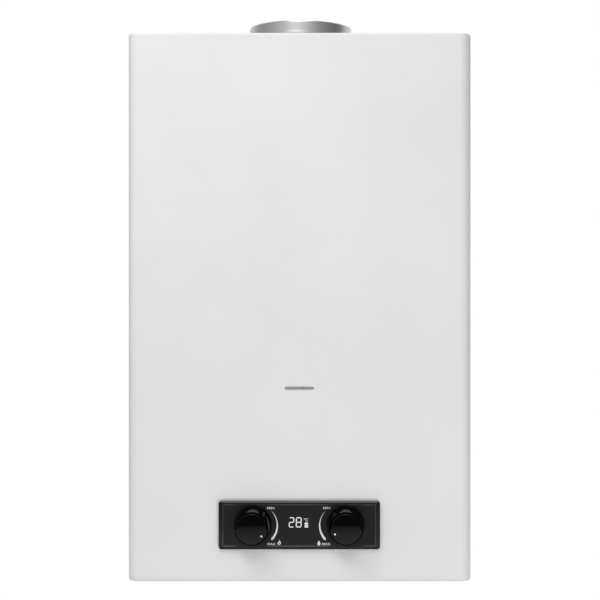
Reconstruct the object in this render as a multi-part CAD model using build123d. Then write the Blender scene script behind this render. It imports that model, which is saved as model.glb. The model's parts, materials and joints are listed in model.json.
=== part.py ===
from build123d import *
import math
import os

os.makedirs("parts", exist_ok=True)

# A wall-hung tankless gas water heater, in millimetres.
# X runs to the right, Y to the wall and Z up, so the front faces -Y.
# Heights count from the casing's lower edge and depths from the wall.
# Finished pieces are lowered by half the casing, to the middle of the four wall fixings.

# Clearances
OVERRUN = 2.0
SHEET_GAP = 0.5
SEAT_GAP = 0.3
RUNNING_GAP = 0.06
BRAZE_GAP = 0.1

# Front cover, folded from one sheet
CASE_WIDTH = 344.0
CASE_HEIGHT = 549.0
CASE_DEPTH = 155.0
CASE_SHEET = 1.0
CASE_EDGE_RADIUS = 11.0
CASE_RIM_RADIUS = 2.6
CASE_LIP = 14.0
CASE_WALL_GAP = 1.5
SIGHT_WIDTH = 29.5
SIGHT_SLOT = 3.2
SIGHT_HEIGHT = 193.3

# Sheet metal screws, the same for the cover and the hood
SCREW_RADIUS = 1.9
SCREW_LENGTH = 8.0
SCREW_HEAD_RADIUS = 3.8
SCREW_HEAD = 2.2
SCREW_CROSS = 0.9
SCREW_CROSS_DEPTH = 1.2
SCREW_HOLE_GAP = 0.15
LOW_SCREW_DEPTH = 110.0
HIGH_SCREW_X = 90.0
HIGH_SCREW_DEPTH = 12.0

# Back plate with its wall tabs
PLATE_SHEET = 1.0
PLATE_FLANGE = 20.0
PLATE_TOP_FLANGE_WIDTH = 250.0
PLATE_RIB_LENGTH = 260.0
PLATE_RIB_WIDTH = 16.0
PLATE_RIB_RISE = 3.0
PLATE_RIB_SHARES = (0.41, 0.69)
TAB_WIDTH = 230.0
TAB_RISE = 22.0
TAB_CORNER = 6.0
WALL_HOLE_RADIUS = 4.0
WALL_HOLE_SPACING = 200.0
WALL_HOLE_RISE = 11.0

# Bottom plate
FLOOR_SHEET = 1.0
FLOOR_HOLE_GAP = 0.6
LOUVRE_LENGTH = 30.0
LOUVRE_WIDTH = 3.4
LOUVRE_PITCH = 8.0
LOUVRE_COUNT = 19
LOUVRE_BANK_X = -28.0
LOUVRE_BANK_OFFSET = 44.0

# Flue collar
FLUE_RADIUS = 53.5
FLUE_SHEET = 0.8
FLUE_RISE = 16.5
FLUE_DEPTH = 80.0
FLUE_CURL = 2.0
FLUE_NOTCH_GAP = 2.5
FLUE_BEAD = 1.2
FLUE_BEAD_HEIGHT = 2.4
FLUE_FOOT = 4.5

# Flue hood
HOOD_SHEET = 1.0
HOOD_SKIRT = 22.0
HOOD_RISE = 82.0
HOOD_TOP_WIDTH = 140.0
HOOD_TOP_DEPTH = 118.0
HOOD_CORNER = 6.0
HOOD_LIP = 8.0
HOOD_WINDOW_LENGTH = 64.0
HOOD_WINDOW = 10.0

# Heat exchanger
SHELL_WIDTH = 204.0
SHELL_DEPTH = 104.0
SHELL_SHEET = 1.0
SHELL_BAR_GAP = 6.0
SHELL_HIGH = 430.0
SHELL_CORNER = 6.0
SHELL_WINDOW_WIDTH = 44.0
SHELL_WINDOW_HEIGHT = 11.0
TUBE_RADIUS = 6.5
TUBE_BEND = 14.0
TUBE_ROW_PITCH = 24.0
TUBE_ROW_COUNT = 4
TUBE_ROW_HEIGHT = 396.0
TUBE_OVERHANG = 6.0
FIN_COUNT = 24
FIN_SHEET = 0.8
FIN_PITCH = 8.0
FIN_HEIGHT = 46.0
FIN_HOLE_SIDES = 8
FIN_SCALLOP_RADIUS = 7.0
COIL_GAP = 0.6
COIL_LOW = 232.0
COIL_CLIMB = 12.0
COIL_SIDE_CLIMB = 8.0
COIL_RISER_X = 123.0
COIL_RISER_BEND = 11.0
COIL_START_X = 118.0

# Burner
BAR_COUNT = 9
BAR_PITCH = 21.0
BAR_LENGTH = 96.0
BAR_TUBE_RADIUS = 6.5
BAR_NECK = 6.0
BAR_HEAD_WIDTH = 15.0
BAR_HEAD_HEIGHT = 18.0
BAR_HEAD_CORNER = 4.0
BAR_MOUTH_RADIUS = 5.6
BAR_MOUTH_BORE = 4.2
BAR_MOUTH_REACH = 1.6
BAR_BORE_LENGTH = 40.0
BAR_PIN_RADIUS = 2.0
BAR_PIN_SHARE = 0.47
PORT_COUNT = 8
PORT_PITCH = 11.0
PORT_WIDTH = 1.8
PORT_LENGTH = 10.0
PORT_DEPTH = 6.0
BOX_LOW = 116.0
BOX_SHEET = 1.0

# Gas manifold, riser and injectors
MANIFOLD_LENGTH = 186.0
MANIFOLD_SIZE = 12.0
MANIFOLD_CORNER = 2.0
MANIFOLD_HEIGHT = 125.0
MANIFOLD_FRONT_GAP = 3.0
INJECTOR_RADIUS = 3.0
INJECTOR_TIP_RADIUS = 1.6
INJECTOR_LENGTH = 3.6
INJECTOR_TIP = 1.6
INJECTOR_BORE = 0.5
RISER_RADIUS = 6.5
RISER_BEND = 12.0
RISER_HEIGHT = 100.0

# Valve bodies
KNOB_SPACING = 92.5
KNOB_HEIGHT = 57.0
VALVE_DEPTH = 80.0
VALVE_MARGIN = 1.0
VALVE_LOW = 32.0
VALVE_HIGH = 82.0
VALVE_CORNER = 8.0
VALVE_BOSS = 2.0
VALVE_BOSS_RADIUS = 12.0
VALVE_FRONT_BOSS = 8.0
VALVE_FRONT_BOSS_RADIUS = 12.0
GAS_BODY_LEFT = 46.0
GAS_BODY_RIGHT = 30.0
GAS_GLAND_LENGTH = 4.0
GAS_GLAND_RADIUS = 9.0
GAS_OUTLET_LENGTH = 8.0
WATER_BODY_LEFT = 6.5
WATER_BODY_RIGHT = 31.0
WATER_OUTLET_X = 62.0
WATER_OUTLET_LENGTH = 4.0

# Gas solenoid, on top of the gas valve
SOLENOID_RADIUS = 12.0
SOLENOID_LENGTH = 20.0
SOLENOID_CAP_RADIUS = 7.0
SOLENOID_CAP = 4.0
SOLENOID_BOSS_GAP = 1.0
SOLENOID_TAB_LENGTH = 8.0
SOLENOID_TAB_WIDTH = 5.0
SOLENOID_TAB = 0.8
SOLENOID_TAB_SPACING = 10.0

# Diaphragm housing and its screws
DISC_RADIUS = 25.0
DISC_CAVITY_RADIUS = 17.0
DIAPHRAGM_X = 27.0
DIAPHRAGM_SHEET = 2.0
DISC_COVER = 10.0
DISC_COVER_WALL = 3.0
DISC_BODY_CAVITY = 5.0
DISC_GLAND = 6.0
DISC_GLAND_RADIUS = 8.0
DISC_SCREW_COUNT = 6
DISC_SCREW_CIRCLE_RADIUS = 21.0
DISC_SCREW_RADIUS = 1.6
DISC_SCREW_HEAD_RADIUS = 2.8
DISC_SCREW_HEAD = 2.5
DISC_SCREW_LENGTH = 16.0

# Flow rod and micro switch
ROD_RADIUS = 3.0
ROD_END_X = -24.0
ROD_TRAVEL = 4.0
ROD_PLATE_RADIUS = 13.0
ROD_PLATE = 2.0
ROD_COLLAR_RADIUS = 7.0
ROD_COLLAR = 4.0
ROD_COLLAR_X = -3.0
SWITCH_LEFT = -30.0
SWITCH_RIGHT = 4.0
SWITCH_THICKNESS = 12.0
SWITCH_HEIGHT = 12.0
SWITCH_CORNER = 1.5
SWITCH_EAR = 2.0
SWITCH_EAR_WIDTH = 6.0
SWITCH_EAR_DROP = 4.5
SWITCH_PIN_DROP = 2.5
SWITCH_PIN_RADIUS = 0.8
LEVER_SHEET = 0.6
LEVER_WIDTH = 6.0
LEVER_BARREL_RADIUS = 1.3
LEVER_END_HEIGHT = 60.0

# Spindles and gland nuts
SPINDLE_RADIUS = 3.0
SPINDLE_FLAT_CUT = 1.0
SPINDLE_SHOULDER_RADIUS = 5.0
SPINDLE_SHOULDER = 14.0
SPINDLE_HOLE_GAP = 2.0
GLAND_NUT_FLATS = 19.0
GLAND_NUT = 8.0

# Knobs
KNOB_BASE_RADIUS = 19.4
KNOB_SHOULDER_RADIUS = 17.0
KNOB_FACE_RADIUS = 14.6
KNOB_LENGTH = 27.0
KNOB_BEVEL = 3.0
KNOB_WALL = 2.0
KNOB_CAP = 3.0
KNOB_BOSS_RADIUS = 6.5
KNOB_BOSS_INSET = 1.5
KNOB_STAND = 1.0
KNOB_DOT_RADIUS = 0.9
KNOB_DOT_DEPTH = 0.4
KNOB_DOT_CIRCLE_RADIUS = 11.8
GAS_DOT_ANGLE = -35.0
WATER_DOT_ANGLE = 204.0
CLIP_SHEET = 0.7
CLIP_LENGTH = 6.0
CLIP_SLOT = 3.0

# Control panel
BEZEL_WIDTH = 161.0
BEZEL_HEIGHT = 48.0
BEZEL_STAND = 6.5
BEZEL_CORNER = 2.6
BEZEL_BEVEL = 1.4
BEZEL_FLOOR = 1.8
BEZEL_OVERLAP = 6.0
BEZEL_SKIRT = 8.0
BEZEL_SKIRT_WALL = 2.0
BEZEL_LUG_WIDTH = 12.0
BEZEL_LUG = 1.6
BEZEL_LUG_REACH = 1.4
BEZEL_LUG_SPACING = 90.0
BEZEL_POST_RADIUS = 2.0
FASCIA_WIDTH = 153.5
FASCIA_HEIGHT = 42.4
FASCIA_SHEET = 1.5
FASCIA_SINK = 0.8
FASCIA_CORNER = 1.2
DISPLAY_WIDTH = 40.0
DISPLAY_HEIGHT = 20.0
BOARD_WIDTH = 58.0
BOARD_HEIGHT = 30.0
BOARD_SHEET = 1.6
BOARD_POST_X = 26.0
BOARD_POST_RISE = 12.0
BOARD_PLUG_WIDTH = 12.0
BOARD_PLUG_HEIGHT = 6.0
BOARD_PLUG = 6.0

# Sight mesh
MESH_SHEET = 0.8
MESH_MARGIN = 5.0
MESH_CELL = 1.15
MESH_PITCH = 2.7
MESH_COUNT = 11
MESH_ROWS = 3

# Threaded connectors
HOT_SIDE_GAP = 30.0
THREAD_RADIUS = 10.48
THREAD_LENGTH = 10.0
NIPPLE_REACH = 11.0
NIPPLE_COLLAR_RADIUS = 12.0
NIPPLE_COLLAR = 5.0
NIPPLE_HEX_FLATS = 24.0
NIPPLE_HEX = 10.0
NIPPLE_NECK_RADIUS = 8.5
NIPPLE_BORE = 7.5
NIPPLE_BORE_LENGTH = 33.0
NIPPLE_CHAMFER = 0.8
FILTER_WALL = 0.6
FILTER_LENGTH = 22.0
FILTER_RIM = 1.2
FILTER_TAPER = 1.5

# Pipe nuts
NUT_FLATS = 21.0
NUT_LENGTH = 14.0
UNION_HEIGHT = 205.0
PIPE_RUN_HEIGHT = 108.0
HOT_RUN_HIGH = 112.0
HOT_RUN_LOW = 80.0
HOT_RUN_GAP = 5.9

# Drain plug
DRAIN_X = 69.0
DRAIN_RADIUS = 4.0
DRAIN_REACH = 6.0
DRAIN_BOSS_RADIUS = 7.0
DRAIN_BOSS = 6.0
DRAIN_STEM = 30.0
DRAIN_KEY_RADIUS = 6.5
DRAIN_KEY = 9.0
DRAIN_KEY_GRIP = 1.6
DRAIN_KEY_GRIPS = 8
DRAIN_SEAL_RADIUS = 6.4
DRAIN_SEAL = 1.6

# Brackets
BRACKET_SHEET = 1.5
BRACKET_WIDTH = 132.0
BRACKET_FOOT = 12.0
VALVE_BRACKET_LOW = 46.0
VALVE_BRACKET_HEIGHT = 22.0
BOX_BRACKET_LOW = 130.0
SHELL_BRACKET_LOW = 308.0
STAY_HEIGHT = 24.0

# Electrodes
ELECTRODE_X = 45.0
ELECTRODE_HEIGHT = 190.0
ELECTRODE_BAR_GAP = 12.0
ELECTRODE_RADIUS = 3.5
ELECTRODE_LENGTH = 20.0
ELECTRODE_OUTSIDE = 8.0
ELECTRODE_RIB = 0.9
ELECTRODE_ROD_RADIUS = 0.9
ELECTRODE_ROD_REACH = 12.0
ELECTRODE_ROD_BEND = 3.0
ELECTRODE_TIP_GAP = 3.5
ELECTRODE_TIP_REACH = 6.0
ELECTRODE_PLATE = 1.0
ELECTRODE_PLATE_WIDTH = 22.0
ELECTRODE_PLATE_HEIGHT = 14.0

# Control box
CONTROL_SIDE_GAP = 7.0
CONTROL_WIDTH = 46.0
CONTROL_LOW = 120.0
CONTROL_HEIGHT = 78.0
CONTROL_FRONT_GAP = 1.0
CONTROL_WALL = 1.8
CONTROL_CORNER = 3.0
CONTROL_LID = 2.0
CONTROL_GLAND_RADIUS = 3.0
CONTROL_GLAND = 4.0
CONTROL_GLAND_PITCH = 7.5
CONTROL_GLAND_COUNT = 6

# Battery box
CELL_RADIUS = 16.8
CELL_LENGTH = 60.0
CELL_NUB_RADIUS = 4.7
CELL_NUB = 1.5
CELL_EDGE = 1.0
CELL_GAP = 0.5
HATCH_SIDE_GAP = 41.0
HATCH_WALL = 1.8
HATCH_MOUTH = 1.0
HATCH_ROOM = 6.0
HATCH_FLANGE = 4.0
HATCH_FLANGE_SHEET = 1.6
HATCH_LID = 2.0
HATCH_LID_LIP = 4.0
HATCH_HINGE_REACH = 2.6
HATCH_KNUCKLE_RADIUS = 2.0
HATCH_PIN_RADIUS = 0.8
HATCH_KNUCKLE_SHARE = 0.5
HATCH_LUG = 6.0
CONTACT_RADIUS = 6.0
CONTACT_TIP_RADIUS = 3.5
STRAP_SHEET = 0.5
STRAP_WIDTH = 14.0
STRAP_STAND = 1.2

# Thermostats
STAT_RADIUS = 7.5
STAT_BODY = 6.0
STAT_EAR_LENGTH = 26.0
STAT_EAR_WIDTH = 8.0
STAT_EAR = 0.8
STAT_TAB_WIDTH = 4.5
STAT_TAB = 0.8
STAT_TAB_LENGTH = 8.0
HOT_STAT_HEIGHT = 300.0
STAT_CLAMP_SHEET = 1.0

# Leads from the control box, each held at both ends
LEAD_RADIUS = 1.4
LEAD_BEND = 5.0
LEAD_FRONT_GAP = 6.0
SPARK_LEAD_RISE = 8.0
FLAME_LEAD_RISE = 16.0
FRONT_LEAD_SIDE_GAP = 14.0
FRONT_LEAD_PITCH = 8.0
FRONT_LEAD_TURN = 16.0
FRONT_LEAD_LOW = 92.0
DISPLAY_LEAD_DEPTH = 130.0
DISPLAY_LEAD_LOW = 84.0
BATTERY_LEAD_RISE = 10.0
BATTERY_LEAD_REACH = 22.0
SWITCH_LEAD_DEPTH = 46.0
SWITCH_LEAD_RISE = 11.0
SOLENOID_LEAD_DEPTH = 38.0

# Places that follow from the sizes
HALF_WIDTH = CASE_WIDTH / 2
INNER_FRONT = CASE_DEPTH - CASE_SHEET
GAS_X = -KNOB_SPACING / 2
WATER_X = KNOB_SPACING / 2
NIPPLE_TOP = VALVE_LOW - VALVE_BOSS
HOT_X = HOT_SIDE_GAP - HALF_WIDTH
HOT_RUN_X = -SHELL_WIDTH / 2 - COIL_GAP - 3 * TUBE_RADIUS - HOT_RUN_GAP
FLOOR_LOW = CASE_SHEET
FLOOR_HIGH = FLOOR_LOW + FLOOR_SHEET
VALVE_THICKNESS = 2 * (DISC_RADIUS + VALVE_MARGIN)
VALVE_FRONT = VALVE_DEPTH + VALVE_THICKNESS / 2
VALVE_REAR = VALVE_DEPTH - VALVE_THICKNESS / 2
GLAND_FACE = VALVE_FRONT + VALVE_FRONT_BOSS
PANEL_FRONT = CASE_DEPTH + BEZEL_STAND
FASCIA_FRONT = PANEL_FRONT - FASCIA_SINK
FASCIA_REAR = FASCIA_FRONT - FASCIA_SHEET
BEZEL_FLOOR_REAR = FASCIA_REAR - BEZEL_FLOOR
KNOB_REAR = FASCIA_FRONT + KNOB_STAND
SPINDLE_FLAT_LENGTH = KNOB_LENGTH - KNOB_CAP
KNOB_SEAT = KNOB_REAR + SPINDLE_FLAT_LENGTH
BAR_TOP = ELECTRODE_HEIGHT - ELECTRODE_BAR_GAP
BAR_PIN_HEIGHT = MANIFOLD_HEIGHT + BAR_PIN_SHARE * (BAR_TOP - MANIFOLD_HEIGHT)
SHELL_LOW = BAR_TOP + SHELL_BAR_GAP
SHELL_FRONT = FLUE_DEPTH + SHELL_DEPTH / 2
SHELL_REAR = FLUE_DEPTH - SHELL_DEPTH / 2
HOOD_TOP = SHELL_HIGH + HOOD_RISE
CONTROL_LEFT = HALF_WIDTH - CONTROL_SIDE_GAP - CONTROL_WIDTH
CONTROL_DEPTH = SHELL_REAR - PLATE_SHEET - CONTROL_LID - CONTROL_FRONT_GAP
GLAND_DEPTH = PLATE_SHEET + CONTROL_DEPTH / 2
FLUE_TOP = CASE_HEIGHT + FLUE_RISE
MANIFOLD_FRONT = INNER_FRONT - MANIFOLD_FRONT_GAP
MANIFOLD_REAR = MANIFOLD_FRONT - MANIFOLD_SIZE
MANIFOLD_DEPTH = MANIFOLD_FRONT - MANIFOLD_SIZE / 2
GAS_BODY_END = GAS_X + GAS_BODY_RIGHT
GAS_GLAND_X = GAS_BODY_END + GAS_GLAND_LENGTH
SOLENOID_X = GAS_X - VALVE_BOSS_RADIUS - SOLENOID_BOSS_GAP - SOLENOID_RADIUS
SOLENOID_TAB_HEIGHT = VALVE_HIGH + SOLENOID_LENGTH / 2
SOLENOID_TAB_DEPTH = VALVE_DEPTH - SOLENOID_RADIUS - SOLENOID_TAB_LENGTH
DISC_BODY_X = DIAPHRAGM_X + DIAPHRAGM_SHEET
SWITCH_PIN_HEIGHT = VALVE_HIGH - SWITCH_PIN_DROP
LEVER_X = ROD_COLLAR_X - SEAT_GAP - LEVER_SHEET / 2
CELL_SPACING = 2 * CELL_RADIUS + CELL_GAP
CELL_DEPTHS = (VALVE_DEPTH - CELL_SPACING / 2, VALVE_DEPTH + CELL_SPACING / 2)
HATCH_X = HALF_WIDTH - HATCH_SIDE_GAP
HATCH_INNER_WIDTH = 2 * (CELL_RADIUS + CELL_GAP)
HATCH_INNER_DEPTH = CELL_SPACING + HATCH_INNER_WIDTH
HATCH_WIDTH = HATCH_INNER_WIDTH + 2 * HATCH_WALL
HATCH_DEPTH = HATCH_INNER_DEPTH + 2 * HATCH_WALL
HATCH_REAR = VALVE_DEPTH - HATCH_DEPTH / 2
HATCH_LID_TOP = -HATCH_MOUTH - SEAT_GAP
HATCH_AXIS_HEIGHT = HATCH_LID_TOP - HATCH_LID / 2
HATCH_AXIS_DEPTH = HATCH_REAR - HATCH_HINGE_REACH
STRAP_TOP = HATCH_LID_TOP + STRAP_STAND
CELL_LOW = STRAP_TOP + SEAT_GAP
CELL_HIGH = CELL_LOW + CELL_LENGTH
HATCH_ROOF = CELL_HIGH + HATCH_ROOM
DRAIN_SEAT = VALVE_LOW - DRAIN_BOSS


def patch(left, right, low, high):
    """Rectangle between its bounds."""
    return Pos((left + right) / 2, (low + high) / 2) * Rectangle(right - left, high - low)


def rounded(sketch, radius):
    """The sketch with all its corners rounded."""
    return fillet(sketch.vertices(), radius)


def upward(sketch, height, length):
    """Plan (X, Y) drawn at a height and pulled up."""
    return extrude(Plane.XY.offset(height) * sketch, amount=length)


def forward(sketch, depth, length):
    """Front view (X, Z) drawn at a depth from the wall and pulled to the front."""
    return extrude(Plane.XZ.offset(depth) * sketch, amount=length)


def sideways(sketch, x, length):
    """Side view (Y, Z) drawn at a place on X and pulled to the right."""
    return extrude(Plane.YZ.offset(x) * sketch, amount=length)


def turned(points, place):
    """Closed outline of (radius, length) points, turned about the axis of a plane."""
    profile = make_face(Polyline(*points, close=True))
    return place.location * revolve(Plane.XZ * profile, Axis.Z)


def hexagon(flats):
    """Nut outline, sized across its flats."""
    return RegularPolygon(flats / 2, 6, major_radius=False)


def rising(x, depth, height):
    """Plane whose axis points up."""
    return Plane((x, -depth, height), x_dir=(1, 0, 0), z_dir=(0, 0, 1))


def facing(x, depth, height, angle=0):
    """Plane whose axis points to the front, with its first direction at an angle above +X."""
    turn = math.radians(angle)
    first = (math.cos(turn), 0, math.sin(turn))
    return Plane((x, -depth, height), x_dir=first, z_dir=(0, -1, 0))


def tube(points, bend, radius):
    """Round bar along straight runs joined by tangent arcs."""
    path = FilletPolyline(*points, radius=bend)
    start = Plane(path @ 0, z_dir=path % 0)
    return sweep(start * Circle(radius), path=path)


def group(solids):
    """Separate solids as one node."""
    return Compound(children=list(solids))


def casing_form(inset, rear):
    """The casing's outer form, or the same form one sheet inside it."""
    half = HALF_WIDTH - inset
    front = CASE_DEPTH - inset
    plan = patch(-half, half, -front, -rear)
    plan = fillet(plan.vertices().group_by(Axis.Y)[0], CASE_EDGE_RADIUS - inset)
    form = upward(plan, inset, CASE_HEIGHT - 2 * inset)
    ends = form.faces().filter_by(Axis.Z).edges()
    ends = ends.filter_by_position(Axis.Y, -front, -rear, inclusive=(True, False))
    return fillet(ends, CASE_RIM_RADIUS - inset)


def flue_cut(height, length):
    """Notch round the flue collar, open towards the wall."""
    reach = FLUE_RADIUS + FLUE_NOTCH_GAP
    plan = patch(-reach, reach, -FLUE_DEPTH, OVERRUN) + Pos(0, -FLUE_DEPTH) * Circle(reach)
    return upward(plan, height - OVERRUN, length + 2 * OVERRUN)


def screw_holes(places, height, length):
    """Clearance holes for the cover screws."""
    holes = Sketch() + [Pos(x, y) * Circle(SCREW_RADIUS + SCREW_HOLE_GAP) for x, y in places]
    return upward(holes, height - OVERRUN, length + 2 * OVERRUN)


LOW_SCREWS = [(side * (HALF_WIDTH - CASE_LIP / 2), -LOW_SCREW_DEPTH) for side in (-1, 1)]
HIGH_SCREWS = [(side * HIGH_SCREW_X, -HIGH_SCREW_DEPTH) for side in (-1, 1)]


def front_cover():
    cover = casing_form(0, CASE_WALL_GAP) - casing_form(CASE_SHEET, CASE_WALL_GAP - OVERRUN)
    half = HALF_WIDTH - CASE_LIP
    mouth = patch(-half, half, CASE_LIP - CASE_DEPTH, OVERRUN)
    cover -= upward(mouth, -OVERRUN, CASE_SHEET + 2 * OVERRUN)
    cover -= flue_cut(CASE_HEIGHT - CASE_SHEET, CASE_SHEET)
    cover -= screw_holes(LOW_SCREWS, 0, CASE_SHEET)
    cover -= screw_holes(HIGH_SCREWS, CASE_HEIGHT - CASE_SHEET, CASE_SHEET)
    openings = Pos(0, SIGHT_HEIGHT) * SlotOverall(SIGHT_WIDTH, SIGHT_SLOT)
    openings += Pos(0, KNOB_HEIGHT) * panel_opening()
    return cover - forward(openings, INNER_FRONT - OVERRUN, CASE_SHEET + 2 * OVERRUN)


def panel_opening():
    """Cut-out in the cover behind the bezel's border."""
    return Rectangle(BEZEL_WIDTH - 2 * BEZEL_OVERLAP, BEZEL_HEIGHT - 2 * BEZEL_OVERLAP)


def sheet_metal_screws():
    """Pan-head screws: two up through the lower lip, two down through the top, four in the hood."""
    outline = [(0, 0), (SCREW_RADIUS, 0), (SCREW_RADIUS, SCREW_LENGTH)]
    outline += [(SCREW_HEAD_RADIUS, SCREW_LENGTH)]
    outline += [(SCREW_HEAD_RADIUS, SCREW_LENGTH + SCREW_HEAD / 2)]
    outline += [(SCREW_RADIUS, SCREW_LENGTH + SCREW_HEAD), (0, SCREW_LENGTH + SCREW_HEAD)]
    upright = turned(outline, Plane.XY)
    cross = Rectangle(SCREW_CROSS, 2 * SCREW_RADIUS) + Rectangle(2 * SCREW_RADIUS, SCREW_CROSS)
    top = SCREW_LENGTH + SCREW_HEAD
    upright -= upward(cross, top - SCREW_CROSS_DEPTH, SCREW_CROSS_DEPTH + OVERRUN)
    screws = [Pos(x, y, CASE_HEIGHT - SCREW_LENGTH) * upright for x, y in HIGH_SCREWS]
    inverted = Rot(180, 0, 0) * upright
    screws += [Pos(x, y, SCREW_LENGTH) * inverted for x, y in LOW_SCREWS]
    lip = Pos(0, 0, SHELL_HIGH + HOOD_SHEET - SCREW_LENGTH)
    return group(screws + [lip * place * upright for place in lip_places()])


def back_plate():
    half = HALF_WIDTH - CASE_SHEET - SHEET_GAP
    high = CASE_HEIGHT - CASE_SHEET
    sheet = patch(-half, half, 0, high)
    tabs = patch(-TAB_WIDTH / 2, TAB_WIDTH / 2, -TAB_RISE, CASE_HEIGHT + TAB_RISE)
    sheet += rounded(tabs, TAB_CORNER)
    rise = CASE_HEIGHT + 2 * WALL_HOLE_RISE
    sheet -= Pos(0, CASE_HEIGHT / 2) * GridLocations(WALL_HOLE_SPACING, rise, 2, 2) * Circle(
        WALL_HOLE_RADIUS
    )
    plate = forward(sheet, 0, PLATE_SHEET)
    for share in PLATE_RIB_SHARES:
        place = Pos(0, share * CASE_HEIGHT)
        outer = SlotOverall(PLATE_RIB_LENGTH, PLATE_RIB_WIDTH)
        inner = SlotOverall(PLATE_RIB_LENGTH - 2 * PLATE_SHEET, PLATE_RIB_WIDTH - 2 * PLATE_SHEET)
        plate += forward(place * outer, 0, PLATE_RIB_RISE + PLATE_SHEET)
        plate -= forward(place * inner, -OVERRUN, PLATE_RIB_RISE + OVERRUN)
    flange = patch(-PLATE_FLANGE, 0, FLOOR_HIGH + SHEET_GAP, high - CASE_RIM_RADIUS)
    plate += sideways(flange, -half, PLATE_SHEET)
    plate += sideways(flange, half - PLATE_SHEET, PLATE_SHEET)
    shelf = PLATE_TOP_FLANGE_WIDTH / 2
    plate += upward(patch(-shelf, shelf, -FLUE_DEPTH, 0), high - PLATE_SHEET, PLATE_SHEET)
    plate -= flue_ring_cut(high - PLATE_SHEET)
    plate -= screw_holes(HIGH_SCREWS, high - PLATE_SHEET, PLATE_SHEET)
    foot = HALF_WIDTH - CASE_LIP - SHEET_GAP
    return plate + upward(patch(-foot, foot, -PLATE_FLANGE, 0), 0, FLOOR_LOW)


def flue_ring_cut(height):
    """Half-round clearance for the flue collar in the plate's top flange."""
    ring = Pos(0, -FLUE_DEPTH) * Circle(FLUE_RADIUS + FLUE_NOTCH_GAP)
    return upward(ring, height - OVERRUN, PLATE_SHEET + 2 * OVERRUN)


def bottom_plate():
    inset = CASE_RIM_RADIUS + SHEET_GAP
    half = HALF_WIDTH - inset
    plan = patch(-half, half, inset - CASE_DEPTH, -PLATE_SHEET - SEAT_GAP)
    corner = CASE_EDGE_RADIUS - inset
    plan = fillet(plan.vertices().group_by(Axis.Y)[0], corner)
    pipe_hole = Circle(NIPPLE_COLLAR_RADIUS + FLOOR_HOLE_GAP)
    plan -= [Pos(x, -VALVE_DEPTH) * pipe_hole for x in (HOT_X, GAS_X, WATER_X)]
    plan -= Pos(DRAIN_X, -VALVE_DEPTH) * Circle(DRAIN_KEY_RADIUS + FLOOR_HOLE_GAP)
    mouth = Rectangle(HATCH_WIDTH + 2 * SHEET_GAP, HATCH_DEPTH + 2 * SHEET_GAP)
    plan -= Pos(HATCH_X, -VALVE_DEPTH) * mouth
    banks = GridLocations(LOUVRE_PITCH, 2 * LOUVRE_BANK_OFFSET, LOUVRE_COUNT, 2)
    louvre = Rectangle(LOUVRE_WIDTH, LOUVRE_LENGTH)
    plan -= Pos(LOUVRE_BANK_X, -VALVE_DEPTH) * banks * louvre
    plate = upward(plan, FLOOR_LOW, FLOOR_SHEET)
    return plate - screw_holes(LOW_SCREWS, FLOOR_LOW, FLOOR_SHEET)


def flue_collar():
    """Spun spigot: foot on the hood, stop bead at the casing's top, rim curled inwards."""
    inner = FLUE_RADIUS - FLUE_SHEET
    bead_top = CASE_HEIGHT
    bead_low = bead_top - FLUE_BEAD_HEIGHT
    foot = FLUE_RADIUS + FLUE_FOOT
    bead = FLUE_RADIUS + FLUE_BEAD
    wall = Polyline(
        (FLUE_RADIUS - FLUE_CURL, FLUE_TOP - FLUE_SHEET),
        (inner, FLUE_TOP - FLUE_CURL),
        (inner, HOOD_TOP),
        (foot, HOOD_TOP),
        (foot, HOOD_TOP + FLUE_SHEET),
        (FLUE_RADIUS, HOOD_TOP + FLUE_SHEET),
        (FLUE_RADIUS, bead_low),
        (bead, bead_low + FLUE_BEAD_HEIGHT / 3),
        (bead, bead_top - FLUE_BEAD_HEIGHT / 3),
        (FLUE_RADIUS, bead_top),
        (FLUE_RADIUS, FLUE_TOP - FLUE_CURL),
    )
    curl = RadiusArc(
        (FLUE_RADIUS, FLUE_TOP - FLUE_CURL), (FLUE_RADIUS - FLUE_CURL, FLUE_TOP), -FLUE_CURL
    )
    edge = Line((FLUE_RADIUS - FLUE_CURL, FLUE_TOP), (FLUE_RADIUS - FLUE_CURL, FLUE_TOP - FLUE_SHEET))
    profile = make_face([*wall.edges(), *curl.edges(), *edge.edges()])
    return rising(0, FLUE_DEPTH, 0).location * revolve(Plane.XZ * profile, Axis.Z)


def hood_form(inset):
    """Skirt and tapered top of the hood, or the same form one sheet inside it."""
    low = Pos(0, -FLUE_DEPTH) * rounded(
        Rectangle(SHELL_WIDTH - 2 * inset, SHELL_DEPTH - 2 * inset), SHELL_CORNER - inset
    )
    high = Pos(0, -FLUE_DEPTH) * rounded(
        Rectangle(HOOD_TOP_WIDTH - 2 * inset, HOOD_TOP_DEPTH - 2 * inset), HOOD_CORNER - inset
    )
    skirt_top = SHELL_HIGH + HOOD_SKIRT
    skirt = upward(low, SHELL_HIGH, HOOD_SKIRT)
    taper = loft([Plane.XY.offset(skirt_top) * low, Plane.XY.offset(HOOD_TOP - inset) * high])
    return skirt + taper


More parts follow.
